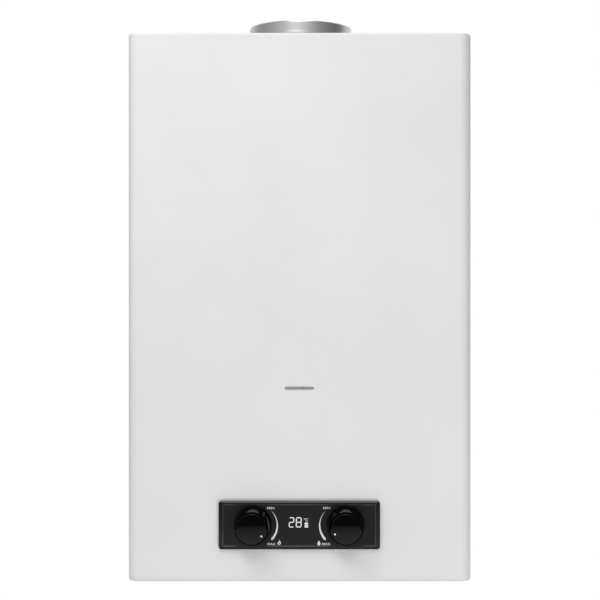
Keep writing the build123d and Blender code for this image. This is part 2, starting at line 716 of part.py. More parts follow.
def flue_hood():
    hood = hood_form(0) - hood_form(HOOD_SHEET)
    lip = Rectangle(SHELL_WIDTH + 2 * HOOD_LIP, SHELL_DEPTH + 2 * HOOD_LIP)
    lip = rounded(lip, SHELL_CORNER + HOOD_LIP)
    lip -= rounded(Rectangle(SHELL_WIDTH - HOOD_SHEET, SHELL_DEPTH - HOOD_SHEET), SHELL_CORNER)
    hood += upward(Pos(0, -FLUE_DEPTH) * lip, SHELL_HIGH, HOOD_SHEET)
    bore = Pos(0, -FLUE_DEPTH) * Circle(FLUE_RADIUS - FLUE_SHEET)
    hood -= upward(bore, HOOD_TOP - HOOD_SHEET - OVERRUN, HOOD_SHEET + 2 * OVERRUN)
    window = Pos(-FLUE_DEPTH, SHELL_HIGH + HOOD_SKIRT / 2)
    window *= SlotOverall(HOOD_WINDOW_LENGTH, HOOD_WINDOW)
    hood -= sideways(window, -HALF_WIDTH, CASE_WIDTH)
    return hood - lip_holes(SHELL_HIGH, HOOD_SHEET)


def lip_places():
    """Screw places at the corners of the lips that join hood and shell."""
    across = SHELL_WIDTH - 2 * SHELL_CORNER
    along = SHELL_DEPTH + HOOD_LIP
    return Pos(0, -FLUE_DEPTH) * GridLocations(across, along, 2, 2)


def lip_holes(height, length):
    holes = lip_places() * Circle(SCREW_RADIUS + SCREW_HOLE_GAP)
    return upward(Sketch() + holes, height - OVERRUN, length + 2 * OVERRUN)


def duct(low, high, sheet, corner):
    """Rectangular sheet duct round the burner and chamber."""
    outer = rounded(Rectangle(SHELL_WIDTH, SHELL_DEPTH), corner)
    inner = rounded(Rectangle(SHELL_WIDTH - 2 * sheet, SHELL_DEPTH - 2 * sheet), corner - sheet)
    return upward(Pos(0, -FLUE_DEPTH) * (outer - inner), low, high - low)


def row_depth(row):
    """Depth of a water row in the fin block, the rear row first."""
    return FLUE_DEPTH + (row - (TUBE_ROW_COUNT - 1) / 2) * TUBE_ROW_PITCH


def sight_window(sheet):
    """Opening behind the sight slot, through the chamber's or the burner box's front."""
    window = Pos(0, SIGHT_HEIGHT) * Rectangle(SHELL_WINDOW_WIDTH, SHELL_WINDOW_HEIGHT)
    return forward(window, SHELL_FRONT - sheet - OVERRUN, sheet + 2 * OVERRUN)


def heat_exchanger_shell():
    shell = duct(SHELL_LOW, SHELL_HIGH, SHELL_SHEET, SHELL_CORNER)
    lip = Rectangle(SHELL_WIDTH + 2 * HOOD_LIP, SHELL_DEPTH + 2 * HOOD_LIP)
    lip = rounded(lip, SHELL_CORNER + HOOD_LIP)
    lip -= rounded(Rectangle(SHELL_WIDTH - SHELL_SHEET, SHELL_DEPTH - SHELL_SHEET), SHELL_CORNER)
    shell += upward(Pos(0, -FLUE_DEPTH) * lip, SHELL_HIGH - SHELL_SHEET, SHELL_SHEET)
    shell -= lip_holes(SHELL_HIGH - SHELL_SHEET, SHELL_SHEET)
    hole = Circle(TUBE_RADIUS + BRAZE_GAP)
    rows = Sketch() + [Pos(-row_depth(row), TUBE_ROW_HEIGHT) * hole for row in range(TUBE_ROW_COUNT)]
    shell -= sideways(rows, -HALF_WIDTH, CASE_WIDTH)
    shell -= sight_window(SHELL_SHEET)
    rod = Circle(ELECTRODE_RADIUS + BRAZE_GAP)
    rods = Sketch() + [Pos(side * ELECTRODE_X, ELECTRODE_HEIGHT) * rod for side in (-1, 1)]
    return shell - forward(rods, SHELL_FRONT - SHELL_SHEET - OVERRUN, SHELL_SHEET + 2 * OVERRUN)


def heat_exchanger_fins():
    """Thin plates on the water rows, scalloped between the rows along their lower edge."""
    half = SHELL_DEPTH / 2 - SHELL_SHEET - BRAZE_GAP
    low = TUBE_ROW_HEIGHT - FIN_HEIGHT / 2
    plate = patch(-FLUE_DEPTH - half, half - FLUE_DEPTH, low, low + FIN_HEIGHT)
    hole = RegularPolygon(TUBE_RADIUS + BRAZE_GAP, FIN_HOLE_SIDES, major_radius=False)
    for row in range(TUBE_ROW_COUNT):
        plate -= Pos(-row_depth(row), TUBE_ROW_HEIGHT) * hole
    for row in range(TUBE_ROW_COUNT - 1):
        middle = row_depth(row) + TUBE_ROW_PITCH / 2
        plate -= Pos(-middle, low) * RegularPolygon(FIN_SCALLOP_RADIUS, FIN_HOLE_SIDES)
    fin = sideways(plate, -FIN_SHEET / 2, FIN_SHEET)
    places = [(index - (FIN_COUNT - 1) / 2) * FIN_PITCH for index in range(FIN_COUNT)]
    return group(Pos(x, 0, 0) * fin for x in places)


def heat_exchanger_tubes():
    """One tube that runs through the fin block four times, from the rear row to the front."""
    end = SHELL_WIDTH / 2 + TUBE_OVERHANG
    turn = end + TUBE_ROW_PITCH / 2
    points = [(-end, -row_depth(0), TUBE_ROW_HEIGHT)]
    for row in range(TUBE_ROW_COUNT - 1):
        side = 1 if row % 2 == 0 else -1
        points += [(side * turn, -row_depth(row), TUBE_ROW_HEIGHT)]
        points += [(side * turn, -row_depth(row + 1), TUBE_ROW_HEIGHT)]
    points += [(-end, -row_depth(TUBE_ROW_COUNT - 1), TUBE_ROW_HEIGHT)]
    return tube(points, TUBE_ROW_PITCH / 2 - BRAZE_GAP, TUBE_RADIUS)


def heat_exchanger_coil():
    """Cooling coil: once and a half round the chamber, then up to the fin block's rear row."""
    reach = TUBE_RADIUS + COIL_GAP
    side = SHELL_WIDTH / 2 + reach
    front = SHELL_FRONT + reach
    rear = SHELL_REAR - reach
    height = COIL_LOW
    points = [(COIL_START_X, -VALVE_DEPTH, UNION_HEIGHT), (COIL_START_X, -VALVE_DEPTH, height)]
    corners = [(side, -rear), (-side, -rear), (-side, -front), (side, -front), (side, -rear)]
    for step, (x, y) in enumerate(corners):
        height += COIL_SIDE_CLIMB if step % 2 == 0 else COIL_CLIMB
        points += [(x, y, height)]
    points += [(-COIL_RISER_X, -rear, height + COIL_CLIMB)]
    points += [(-COIL_RISER_X, -row_depth(0), TUBE_ROW_HEIGHT)]
    points += [(-SHELL_WIDTH / 2 - TUBE_OVERHANG, -row_depth(0), TUBE_ROW_HEIGHT)]
    bends = [TUBE_BEND] * (len(points) - 3) + [COIL_RISER_BEND]
    return tube(points, bends, TUBE_RADIUS)


def cold_water_pipe():
    low = VALVE_HIGH + WATER_OUTLET_LENGTH
    points = [(WATER_OUTLET_X, -VALVE_DEPTH, low), (WATER_OUTLET_X, -VALVE_DEPTH, PIPE_RUN_HEIGHT)]
    points += [(COIL_START_X, -VALVE_DEPTH, PIPE_RUN_HEIGHT)]
    points += [(COIL_START_X, -VALVE_DEPTH, UNION_HEIGHT)]
    return tube(points, TUBE_BEND - SHEET_GAP, TUBE_RADIUS)


def hot_water_pipe():
    start = SHELL_WIDTH / 2 + TUBE_OVERHANG
    front = row_depth(TUBE_ROW_COUNT - 1)
    points = [(-start, -front, TUBE_ROW_HEIGHT), (HOT_RUN_X, -front, TUBE_ROW_HEIGHT)]
    points += [(HOT_RUN_X, -front, HOT_RUN_HIGH), (HOT_X, -VALVE_DEPTH, HOT_RUN_LOW)]
    points += [(HOT_X, -VALVE_DEPTH, NIPPLE_TOP)]
    return tube(points, TUBE_BEND, TUBE_RADIUS)


def pipe_nuts():
    """Union nuts at the pipe ends."""
    ring = hexagon(NUT_FLATS) - Circle(TUBE_RADIUS + BRAZE_GAP)
    places = [(COIL_START_X, UNION_HEIGHT - NUT_LENGTH / 2)]
    places += [(WATER_OUTLET_X, VALVE_HIGH + WATER_OUTLET_LENGTH), (HOT_X, NIPPLE_TOP)]
    lengths = [NUT_LENGTH, NUT_LENGTH / 2, NUT_LENGTH]
    rings = zip(places, lengths)
    return group(
        upward(Pos(x, -VALVE_DEPTH) * ring, height, length) for (x, height), length in rings
    )


def burner_bar():
    """One burner: mixing tube below, narrow neck, wide head with a row of flame ports."""
    head = patch(-BAR_HEAD_WIDTH / 2, BAR_HEAD_WIDTH / 2, BAR_TOP - BAR_HEAD_HEIGHT, BAR_TOP)
    section = rounded(head, BAR_HEAD_CORNER)
    neck_top = BAR_TOP - BAR_HEAD_HEIGHT / 2
    section += patch(-BAR_NECK / 2, BAR_NECK / 2, MANIFOLD_HEIGHT, neck_top)
    section += Pos(0, MANIFOLD_HEIGHT) * Circle(BAR_TUBE_RADIUS)
    rear = FLUE_DEPTH - BAR_LENGTH / 2
    front = rear + BAR_LENGTH
    bar = forward(section, rear, BAR_LENGTH)
    mouth = Pos(0, MANIFOLD_HEIGHT)
    bar += forward(mouth * Circle(BAR_MOUTH_RADIUS), front, SHELL_FRONT + BAR_MOUTH_REACH - front)
    bore = SHELL_FRONT + BAR_MOUTH_REACH - BAR_BORE_LENGTH
    bar -= forward(mouth * Circle(BAR_MOUTH_BORE), bore, BAR_BORE_LENGTH + OVERRUN)
    pin = Pos(0, BAR_PIN_HEIGHT) * Circle(BAR_PIN_RADIUS)
    bar += forward(pin, SHELL_REAR, rear - SHELL_REAR)
    ports = Pos(0, -FLUE_DEPTH) * GridLocations(0, PORT_PITCH, 1, PORT_COUNT)
    ports *= Rectangle(PORT_LENGTH, PORT_WIDTH)
    return bar - upward(Sketch() + ports, BAR_TOP - PORT_DEPTH, PORT_DEPTH + OVERRUN)


def bar_places():
    return [(index - (BAR_COUNT - 1) / 2) * BAR_PITCH for index in range(BAR_COUNT)]


def burner_bars():
    bar = burner_bar()
    return group(Pos(x, 0, 0) * bar for x in bar_places())


def burner_box():
    """Sheet frame that holds the bars by their mouths and rear pins."""
    box = duct(BOX_LOW, SHELL_LOW, BOX_SHEET, SHELL_CORNER)
    mouth = Circle(BAR_MOUTH_RADIUS + BRAZE_GAP)
    mouths = Sketch() + [Pos(x, MANIFOLD_HEIGHT) * mouth for x in bar_places()]
    box -= forward(mouths, SHELL_FRONT - BOX_SHEET - OVERRUN, BOX_SHEET + 2 * OVERRUN)
    box -= sight_window(BOX_SHEET)
    pin = Circle(BAR_PIN_RADIUS + BRAZE_GAP)
    pins = Sketch() + [Pos(x, BAR_PIN_HEIGHT) * pin for x in bar_places()]
    return box - forward(pins, SHELL_REAR - OVERRUN, BOX_SHEET + 2 * OVERRUN)


def gas_manifold():
    low = MANIFOLD_HEIGHT - MANIFOLD_SIZE / 2
    section = patch(-MANIFOLD_FRONT, -MANIFOLD_REAR, low, low + MANIFOLD_SIZE)
    return sideways(rounded(section, MANIFOLD_CORNER), -MANIFOLD_LENGTH / 2, MANIFOLD_LENGTH)


def gas_injectors():
    tip = INJECTOR_LENGTH - INJECTOR_TIP
    outline = [(INJECTOR_BORE, 0), (INJECTOR_RADIUS, 0), (INJECTOR_RADIUS, tip)]
    outline += [(INJECTOR_TIP_RADIUS, INJECTOR_LENGTH), (INJECTOR_BORE, INJECTOR_LENGTH)]
    seats = [
        Plane((x, -MANIFOLD_REAR, MANIFOLD_HEIGHT), x_dir=(1, 0, 0), z_dir=(0, 1, 0))
        for x in bar_places()
    ]
    return group(turned(outline, seat) for seat in seats)


def gas_riser():
    """Pipe from the gas valve, forward under the burner and up into the manifold."""
    points = [(GAS_X, -VALVE_DEPTH, VALVE_HIGH + GAS_OUTLET_LENGTH)]
    points += [(GAS_X, -VALVE_DEPTH, RISER_HEIGHT), (GAS_X, -MANIFOLD_DEPTH, RISER_HEIGHT)]
    points += [(GAS_X, -MANIFOLD_DEPTH, MANIFOLD_HEIGHT - MANIFOLD_SIZE / 2)]
    return tube(points, RISER_BEND - RISER_RADIUS / 2, RISER_RADIUS)


def valve_block(left, right):
    """Cast block with rounded corners, seen from the front."""
    outline = rounded(patch(left, right, VALVE_LOW, VALVE_HIGH), VALVE_CORNER)
    return forward(outline, VALVE_REAR, VALVE_THICKNESS)


def spindle_seat(body, x):
    """Front boss and stepped bore for a knob spindle."""
    boss = Pos(x, KNOB_HEIGHT) * Circle(VALVE_FRONT_BOSS_RADIUS)
    body += forward(boss, VALVE_DEPTH, GLAND_FACE - VALVE_DEPTH)
    bore = Pos(x, KNOB_HEIGHT) * Circle(SPINDLE_SHOULDER_RADIUS + RUNNING_GAP)
    low = GLAND_FACE - SPINDLE_SHOULDER - SEAT_GAP
    return body - forward(bore, low - SEAT_GAP, GLAND_FACE - low + SEAT_GAP + OVERRUN)


def pipe_seat(x):
    """Lower boss that takes a connector's neck."""
    return upward(Pos(x, -VALVE_DEPTH) * Circle(VALVE_BOSS_RADIUS), NIPPLE_TOP, VALVE_CORNER)


def gas_valve_body():
    body = valve_block(GAS_X - GAS_BODY_LEFT, GAS_BODY_END)
    body += pipe_seat(GAS_X)
    outlet = Pos(GAS_X, -VALVE_DEPTH) * Circle(VALVE_BOSS_RADIUS)
    body += upward(outlet, VALVE_HIGH - VALVE_CORNER, VALVE_CORNER + GAS_OUTLET_LENGTH)
    axis = Pos(-VALVE_DEPTH, KNOB_HEIGHT)
    body += sideways(axis * Circle(GAS_GLAND_RADIUS), GAS_X, GAS_GLAND_X - GAS_X)
    body = spindle_seat(body, GAS_X)
    bore_end = ROD_END_X - ROD_TRAVEL - SEAT_GAP
    bore = axis * Circle(ROD_RADIUS + RUNNING_GAP)
    return body - sideways(bore, bore_end, GAS_GLAND_X - bore_end + OVERRUN)


def gas_solenoid():
    """Coil can with its end cap and two terminal tabs behind."""
    axis = Pos(SOLENOID_X, -VALVE_DEPTH)
    can = upward(axis * Circle(SOLENOID_RADIUS), VALVE_HIGH, SOLENOID_LENGTH)
    can += upward(axis * Circle(SOLENOID_CAP_RADIUS), VALVE_HIGH + SOLENOID_LENGTH, SOLENOID_CAP)
    tabs = Pos(SOLENOID_X, SOLENOID_TAB_HEIGHT) * GridLocations(SOLENOID_TAB_SPACING, 0, 2, 1)
    tabs *= Rectangle(SOLENOID_TAB, SOLENOID_TAB_WIDTH)
    return can + forward(Sketch() + tabs, SOLENOID_TAB_DEPTH, VALVE_DEPTH - SOLENOID_TAB_DEPTH)


def disc_screw_places():
    return Pos(-VALVE_DEPTH, KNOB_HEIGHT) * PolarLocations(DISC_SCREW_CIRCLE_RADIUS, DISC_SCREW_COUNT)


def disc_section(cavity):
    """Flange disc of the diaphragm housing with its screw holes and a round opening."""
    axis = Pos(-VALVE_DEPTH, KNOB_HEIGHT)
    disc = axis * Circle(DISC_RADIUS)
    disc -= disc_screw_places() * Circle(DISC_SCREW_RADIUS + BRAZE_GAP)
    if cavity:
        disc -= axis * Circle(cavity)
    return disc


def water_valve_body():
    body = valve_block(WATER_X - WATER_BODY_LEFT, WATER_X + WATER_BODY_RIGHT)
    block_x = WATER_X - WATER_BODY_LEFT
    body += pipe_seat(WATER_X)
    drain = Pos(DRAIN_X, -VALVE_DEPTH)
    body += upward(drain * Circle(DRAIN_BOSS_RADIUS), DRAIN_SEAT, DRAIN_BOSS + VALVE_CORNER)
    outlet = Pos(WATER_OUTLET_X, -VALVE_DEPTH) * Circle(VALVE_BOSS_RADIUS)
    body += upward(outlet, VALVE_HIGH - VALVE_CORNER, VALVE_CORNER + WATER_OUTLET_LENGTH)
    body = spindle_seat(body, WATER_X)
    body += sideways(disc_section(0), DISC_BODY_X, block_x - DISC_BODY_X)
    cavity = Pos(-VALVE_DEPTH, KNOB_HEIGHT) * Circle(DISC_CAVITY_RADIUS)
    body -= sideways(cavity, DISC_BODY_X - OVERRUN, DISC_BODY_CAVITY + OVERRUN)
    hole = drain * Circle(DRAIN_RADIUS + RUNNING_GAP)
    return body - upward(hole, DRAIN_SEAT - OVERRUN, OVERRUN + DRAIN_REACH + DRAIN_RADIUS)


def diaphragm_cover():
    """Left half of the diaphragm housing, with the rod's gland."""
    left = DIAPHRAGM_X - DISC_COVER
    cover = sideways(disc_section(0), left, DISC_COVER)
    axis = Pos(-VALVE_DEPTH, KNOB_HEIGHT)
    cover += sideways(axis * Circle(DISC_GLAND_RADIUS), left - DISC_GLAND, DISC_GLAND)
    room = DISC_COVER - DISC_COVER_WALL
    cavity = axis * Circle(DISC_CAVITY_RADIUS)
    cover -= sideways(cavity, left + DISC_COVER_WALL, room + OVERRUN)
    bore = axis * Circle(ROD_RADIUS + RUNNING_GAP)
    return cover - sideways(bore, left - DISC_GLAND - OVERRUN, DISC_COVER + DISC_GLAND + OVERRUN)


def diaphragm():
    return sideways(disc_section(0), DIAPHRAGM_X, DIAPHRAGM_SHEET)


def diaphragm_screws():
    left = DIAPHRAGM_X - DISC_COVER
    places = disc_screw_places()
    heads = Sketch() + places * Circle(DISC_SCREW_HEAD_RADIUS)
    screws = sideways(heads, left - DISC_SCREW_HEAD, DISC_SCREW_HEAD)
    return screws + sideways(Sketch() + places * Circle(DISC_SCREW_RADIUS), left, DISC_SCREW_LENGTH)


def flow_rod():
    """Push rod from the diaphragm to the gas valve, with the collar that trips the switch."""
    axis = Pos(-VALVE_DEPTH, KNOB_HEIGHT)
    plate_right = DIAPHRAGM_X - SEAT_GAP
    plate_left = plate_right - ROD_PLATE
    rod = sideways(axis * Circle(ROD_RADIUS), ROD_END_X, plate_right - ROD_END_X)
    rod += sideways(axis * Circle(ROD_PLATE_RADIUS), plate_left, ROD_PLATE)
    return rod + sideways(axis * Circle(ROD_COLLAR_RADIUS), ROD_COLLAR_X, ROD_COLLAR)


def micro_switch():
    """Switch on the gas valve, with two ears that hold its lever."""
    case = patch(SWITCH_LEFT, SWITCH_RIGHT, VALVE_HIGH, VALVE_HIGH + SWITCH_HEIGHT)
    rear = VALVE_DEPTH - SWITCH_THICKNESS / 2
    switch = forward(rounded(case, SWITCH_CORNER), rear, SWITCH_THICKNESS)
    half = SWITCH_EAR_WIDTH / 2
    top = VALVE_HIGH + SWITCH_CORNER
    ear = patch(LEVER_X - half, LEVER_X + half, VALVE_HIGH - SWITCH_EAR_DROP, top)
    ear -= Pos(LEVER_X, SWITCH_PIN_HEIGHT) * Circle(SWITCH_PIN_RADIUS + RUNNING_GAP)
    switch += forward(ear, rear, SWITCH_EAR)
    return switch + forward(ear, rear + SWITCH_THICKNESS - SWITCH_EAR, SWITCH_EAR)


def switch_lever():
    pin = Pos(LEVER_X, SWITCH_PIN_HEIGHT)
    rear = VALVE_DEPTH - LEVER_WIDTH / 2
    half = LEVER_SHEET / 2
    blade = patch(LEVER_X - half, LEVER_X + half, LEVER_END_HEIGHT, SWITCH_PIN_HEIGHT)
    lever = forward(blade + pin * Circle(LEVER_BARREL_RADIUS), rear, LEVER_WIDTH)
    pin_rear = VALVE_DEPTH - SWITCH_THICKNESS / 2
    return lever + forward(pin * Circle(SWITCH_PIN_RADIUS), pin_rear, SWITCH_THICKNESS)


def flat_sided(radius, gap):
    """Round section with one flat, for the spindle ends and the knobs' bores."""
    flat = radius - SPINDLE_FLAT_CUT + gap
    reach = radius + gap
    return Circle(reach) - patch(flat, reach + OVERRUN, -reach - OVERRUN, reach + OVERRUN)


def spindle(x, angle):
    """Stepped spindle: shoulder in the valve, stem through the panel, flat inside the knob."""
    rear = GLAND_FACE - SPINDLE_SHOULDER - SEAT_GAP
    front = KNOB_SEAT - SEAT_GAP
    place = facing(x, rear, KNOB_HEIGHT, angle)
    stem_end = front - SPINDLE_FLAT_LENGTH - rear
    solid = extrude(place * Circle(SPINDLE_SHOULDER_RADIUS), amount=SPINDLE_SHOULDER)
    solid += extrude(place * Circle(SPINDLE_RADIUS), amount=stem_end)
    end = facing(x, front - SPINDLE_FLAT_LENGTH, KNOB_HEIGHT, angle)
    return solid + extrude(end * flat_sided(SPINDLE_RADIUS, 0), amount=SPINDLE_FLAT_LENGTH)


def knob(x, angle):
    """Hollow tapered knob: wall, cap, bored boss and a sunk dot near the face's edge."""
    seat = KNOB_LENGTH - KNOB_CAP
    shoulder = KNOB_LENGTH - KNOB_BEVEL
    outline = [(0, KNOB_BOSS_INSET), (KNOB_BOSS_RADIUS, KNOB_BOSS_INSET), (KNOB_BOSS_RADIUS, seat)]
    outline += [(KNOB_SHOULDER_RADIUS - KNOB_WALL, seat), (KNOB_BASE_RADIUS - KNOB_WALL, 0)]
    outline += [(KNOB_BASE_RADIUS, 0), (KNOB_SHOULDER_RADIUS, shoulder)]
    outline += [(KNOB_FACE_RADIUS, KNOB_LENGTH), (0, KNOB_LENGTH)]
    place = facing(x, KNOB_REAR, KNOB_HEIGHT, angle)
    solid = turned(outline, place)
    solid -= extrude(place * flat_sided(SPINDLE_RADIUS, RUNNING_GAP), amount=seat)
    face = facing(x, KNOB_REAR + KNOB_LENGTH - KNOB_DOT_DEPTH, KNOB_HEIGHT, angle)
    dot = Pos(KNOB_DOT_CIRCLE_RADIUS, 0) * Circle(KNOB_DOT_RADIUS)
    return solid - extrude(face * dot, amount=KNOB_DOT_DEPTH + OVERRUN)


def knob_clip(x, angle):
    """Split spring ring round the knob's boss."""
    place = facing(x, KNOB_REAR + KNOB_BOSS_INSET + CLIP_SHEET, KNOB_HEIGHT, angle)
    inner = KNOB_BOSS_RADIUS + BRAZE_GAP
    ring = Circle(inner + CLIP_SHEET) - Circle(inner)
    ring -= patch(0, inner + OVERRUN, -CLIP_SLOT / 2, CLIP_SLOT / 2)
    return extrude(place * ring, amount=CLIP_LENGTH)


def spindle_glands():
    """Hex nuts that keep the spindles in the valves."""
    ring = hexagon(GLAND_NUT_FLATS) - Circle(SPINDLE_RADIUS + RUNNING_GAP)
    return group(forward(Pos(x, KNOB_HEIGHT) * ring, GLAND_FACE, GLAND_NUT) for x in (GAS_X, WATER_X))


def panel_bezel():
    """Moulded frame that clips into the cover: bevelled border, floor, skirt, lugs and posts."""
    middle = Pos(0, KNOB_HEIGHT)
    outline = rounded(Rectangle(BEZEL_WIDTH, BEZEL_HEIGHT), BEZEL_CORNER)
    border = forward(middle * outline, CASE_DEPTH, BEZEL_STAND)
    border = chamfer(border.faces().sort_by(Axis.Y)[0].edges(), BEZEL_BEVEL)
    seat = Rectangle(FASCIA_WIDTH + 2 * BRAZE_GAP, FASCIA_HEIGHT + 2 * BRAZE_GAP)
    sink = PANEL_FRONT - FASCIA_REAR + OVERRUN
    border -= forward(middle * rounded(seat, FASCIA_CORNER), FASCIA_REAR, sink)
    opening_width = BEZEL_WIDTH - 2 * (BEZEL_OVERLAP + BEZEL_SKIRT_WALL + SHEET_GAP)
    opening_height = BEZEL_HEIGHT - 2 * (BEZEL_OVERLAP + BEZEL_SKIRT_WALL + SHEET_GAP)
    hollow = Rectangle(opening_width, opening_height)
    room = BEZEL_FLOOR_REAR - CASE_DEPTH + OVERRUN
    border -= forward(middle * hollow, CASE_DEPTH - OVERRUN, room)
    wall = Rectangle(opening_width + 2 * BEZEL_SKIRT_WALL, opening_height + 2 * BEZEL_SKIRT_WALL)
    border += forward(middle * (wall - hollow), CASE_DEPTH - BEZEL_SKIRT, BEZEL_SKIRT)
    lug_low = INNER_FRONT - SEAT_GAP - BEZEL_LUG
    lug_rise = opening_height + 2 * BEZEL_SKIRT_WALL + BEZEL_LUG_REACH
    lugs = middle * GridLocations(BEZEL_LUG_SPACING, lug_rise, 2, 2)
    lugs *= Rectangle(BEZEL_LUG_WIDTH, BEZEL_LUG_REACH)
    border += forward(Sketch() + lugs, lug_low, BEZEL_LUG)
    posts = middle * GridLocations(2 * BOARD_POST_X, 2 * BOARD_POST_RISE, 2, 2)
    posts *= Circle(BEZEL_POST_RADIUS)
    board_front = FASCIA_REAR - display_length()
    border += forward(Sketch() + posts, board_front, BEZEL_FLOOR_REAR - board_front)
    windows = middle * Rectangle(DISPLAY_WIDTH + 2 * SEAT_GAP, DISPLAY_HEIGHT + 2 * SEAT_GAP)
    windows += spindle_holes()
    return border - forward(windows, BEZEL_FLOOR_REAR - OVERRUN, BEZEL_FLOOR + 2 * OVERRUN)


def spindle_holes():
    """Clearance round both spindles in the front view."""
    hole = Circle(SPINDLE_RADIUS + SPINDLE_HOLE_GAP)
    return [Pos(x, KNOB_HEIGHT) * hole for x in (GAS_X, WATER_X)]


def display_length():
    """The display block's thickness, from the board to the fascia."""
    return BEZEL_STAND - FASCIA_SINK - FASCIA_SHEET - SEAT_GAP


def panel_fascia():
    """Tinted plate with the printed scales, pierced for the spindles."""
    plate = rounded(Rectangle(FASCIA_WIDTH, FASCIA_HEIGHT), FASCIA_CORNER)
    plate = Pos(0, KNOB_HEIGHT) * plate
    plate -= spindle_holes()
    return forward(plate, FASCIA_REAR, FASCIA_SHEET)


def display_module():
    """Display block on its circuit board, with the plug of its lead behind."""
    middle = Pos(0, KNOB_HEIGHT)
    front = FASCIA_REAR - display_length()
    module = forward(middle * Rectangle(DISPLAY_WIDTH, DISPLAY_HEIGHT), front, display_length())
    board = middle * Rectangle(BOARD_WIDTH, BOARD_HEIGHT)
    module += forward(board, front - BOARD_SHEET, BOARD_SHEET)
    plug = middle * Rectangle(BOARD_PLUG_WIDTH, BOARD_PLUG_HEIGHT)
    return module + forward(plug, front - BOARD_SHEET - BOARD_PLUG, BOARD_PLUG)


def sight_mesh():
    """Pierced strip behind the sight slot."""
    strip = Rectangle(SIGHT_WIDTH + 2 * MESH_MARGIN, SIGHT_SLOT + 2 * MESH_MARGIN)
    cells = GridLocations(MESH_PITCH, MESH_PITCH, MESH_COUNT, MESH_ROWS)
    strip -= cells * RegularPolygon(MESH_CELL, 4)
    return forward(Pos(0, SIGHT_HEIGHT) * strip, INNER_FRONT - MESH_SHEET, MESH_SHEET)


def connector(x):
    """Threaded connector: thread below the casing, collar through the floor, hex and neck."""
    low = -NIPPLE_REACH
    collar = low + THREAD_LENGTH
    hex_low = collar + NIPPLE_COLLAR
    hex_high = hex_low + NIPPLE_HEX
    bore_end = low + NIPPLE_BORE_LENGTH
    outline = [(0, bore_end), (NIPPLE_BORE, bore_end), (NIPPLE_BORE, low)]
    outline += [(THREAD_RADIUS - NIPPLE_CHAMFER, low), (THREAD_RADIUS, low + NIPPLE_CHAMFER)]
    outline += [(THREAD_RADIUS, collar), (NIPPLE_COLLAR_RADIUS, collar)]
    outline += [(NIPPLE_COLLAR_RADIUS, hex_high), (NIPPLE_NECK_RADIUS, hex_high)]
    outline += [(NIPPLE_NECK_RADIUS, NIPPLE_TOP), (0, NIPPLE_TOP)]
    solid = turned(outline, rising(x, VALVE_DEPTH, 0))
    nut = hexagon(NIPPLE_HEX_FLATS) - Circle(NIPPLE_BORE)
    return solid + upward(Pos(x, -VALVE_DEPTH) * nut, hex_low, NIPPLE_HEX)


def inlet_filter():
    """Strainer cup pushed into the cold inlet from below."""
    low = FILTER_RIM - NIPPLE_REACH
    high = low + FILTER_LENGTH
    outer = NIPPLE_BORE - BRAZE_GAP
    inner = outer - FILTER_WALL
    outline = [(0, high), (outer - FILTER_TAPER, high), (outer, low + FILTER_RIM), (outer, low)]
    outline += [(inner - FILTER_RIM, low), (inner - FILTER_RIM, low + FILTER_RIM)]
    outline += [(inner - FILTER_TAPER - FILTER_RIM, high - FILTER_WALL), (0, high - FILTER_WALL)]
    return turned(outline, rising(WATER_X, VALVE_DEPTH, 0))


def drain_plug():
    """Plug screwed into the water valve from below, with a fluted key under the floor."""
    collar_high = DRAIN_SEAT - DRAIN_SEAL
    collar_low = collar_high - DRAIN_SEAL
    key_high = collar_high - DRAIN_STEM + DRAIN_KEY
    outline = [(0, key_high - DRAIN_KEY), (DRAIN_KEY_RADIUS, key_high - DRAIN_KEY)]
    outline += [(DRAIN_KEY_RADIUS, key_high), (DRAIN_RADIUS, key_high)]
    outline += [(DRAIN_RADIUS, collar_low), (DRAIN_SEAL_RADIUS, collar_low)]
    outline += [(DRAIN_SEAL_RADIUS, collar_high), (DRAIN_RADIUS, collar_high)]
    outline += [(DRAIN_RADIUS, DRAIN_SEAT + DRAIN_REACH), (0, DRAIN_SEAT + DRAIN_REACH)]
    plug = turned(outline, rising(DRAIN_X, VALVE_DEPTH, 0))
    grips = Pos(DRAIN_X, -VALVE_DEPTH) * PolarLocations(DRAIN_KEY_RADIUS, DRAIN_KEY_GRIPS)
    grips *= Rectangle(DRAIN_KEY_GRIP, DRAIN_KEY_GRIP)
    return plug - upward(Sketch() + grips, key_high - DRAIN_KEY - OVERRUN, DRAIN_KEY + 2 * OVERRUN)


def drain_seal():
    """Sealing ring between the plug's collar and the valve."""
    ring = Circle(DRAIN_SEAL_RADIUS) - Circle(DRAIN_RADIUS + BRAZE_GAP)
    height = DRAIN_SEAT - DRAIN_SEAL
    return upward(Pos(DRAIN_X, -VALVE_DEPTH) * ring, height, DRAIN_SEAL)


def hat_bracket(low, height, reach):
    """Folded stay: web against the piece it carries, two legs and two feet on the back plate."""
    half = BRACKET_WIDTH / 2
    outer = patch(-half, half, -reach, -PLATE_SHEET)
    inner = half - BRACKET_SHEET
    outer -= patch(-inner, inner, BRACKET_SHEET - reach, OVERRUN)
    foot = BRACKET_SHEET + PLATE_SHEET
    outer += patch(half - BRACKET_SHEET, half + BRACKET_FOOT, -foot, -PLATE_SHEET)
    outer += patch(-half - BRACKET_FOOT, BRACKET_SHEET - half, -foot, -PLATE_SHEET)
    return upward(outer, low, height)


def valve_bracket():
    return hat_bracket(VALVE_BRACKET_LOW, VALVE_BRACKET_HEIGHT, VALVE_REAR)


def burner_stays():
    """Two stays that carry the burner box and the heat exchanger."""
    lows = (BOX_BRACKET_LOW, SHELL_BRACKET_LOW)
    return group(hat_bracket(low, STAY_HEIGHT, SHELL_REAR) for low in lows)


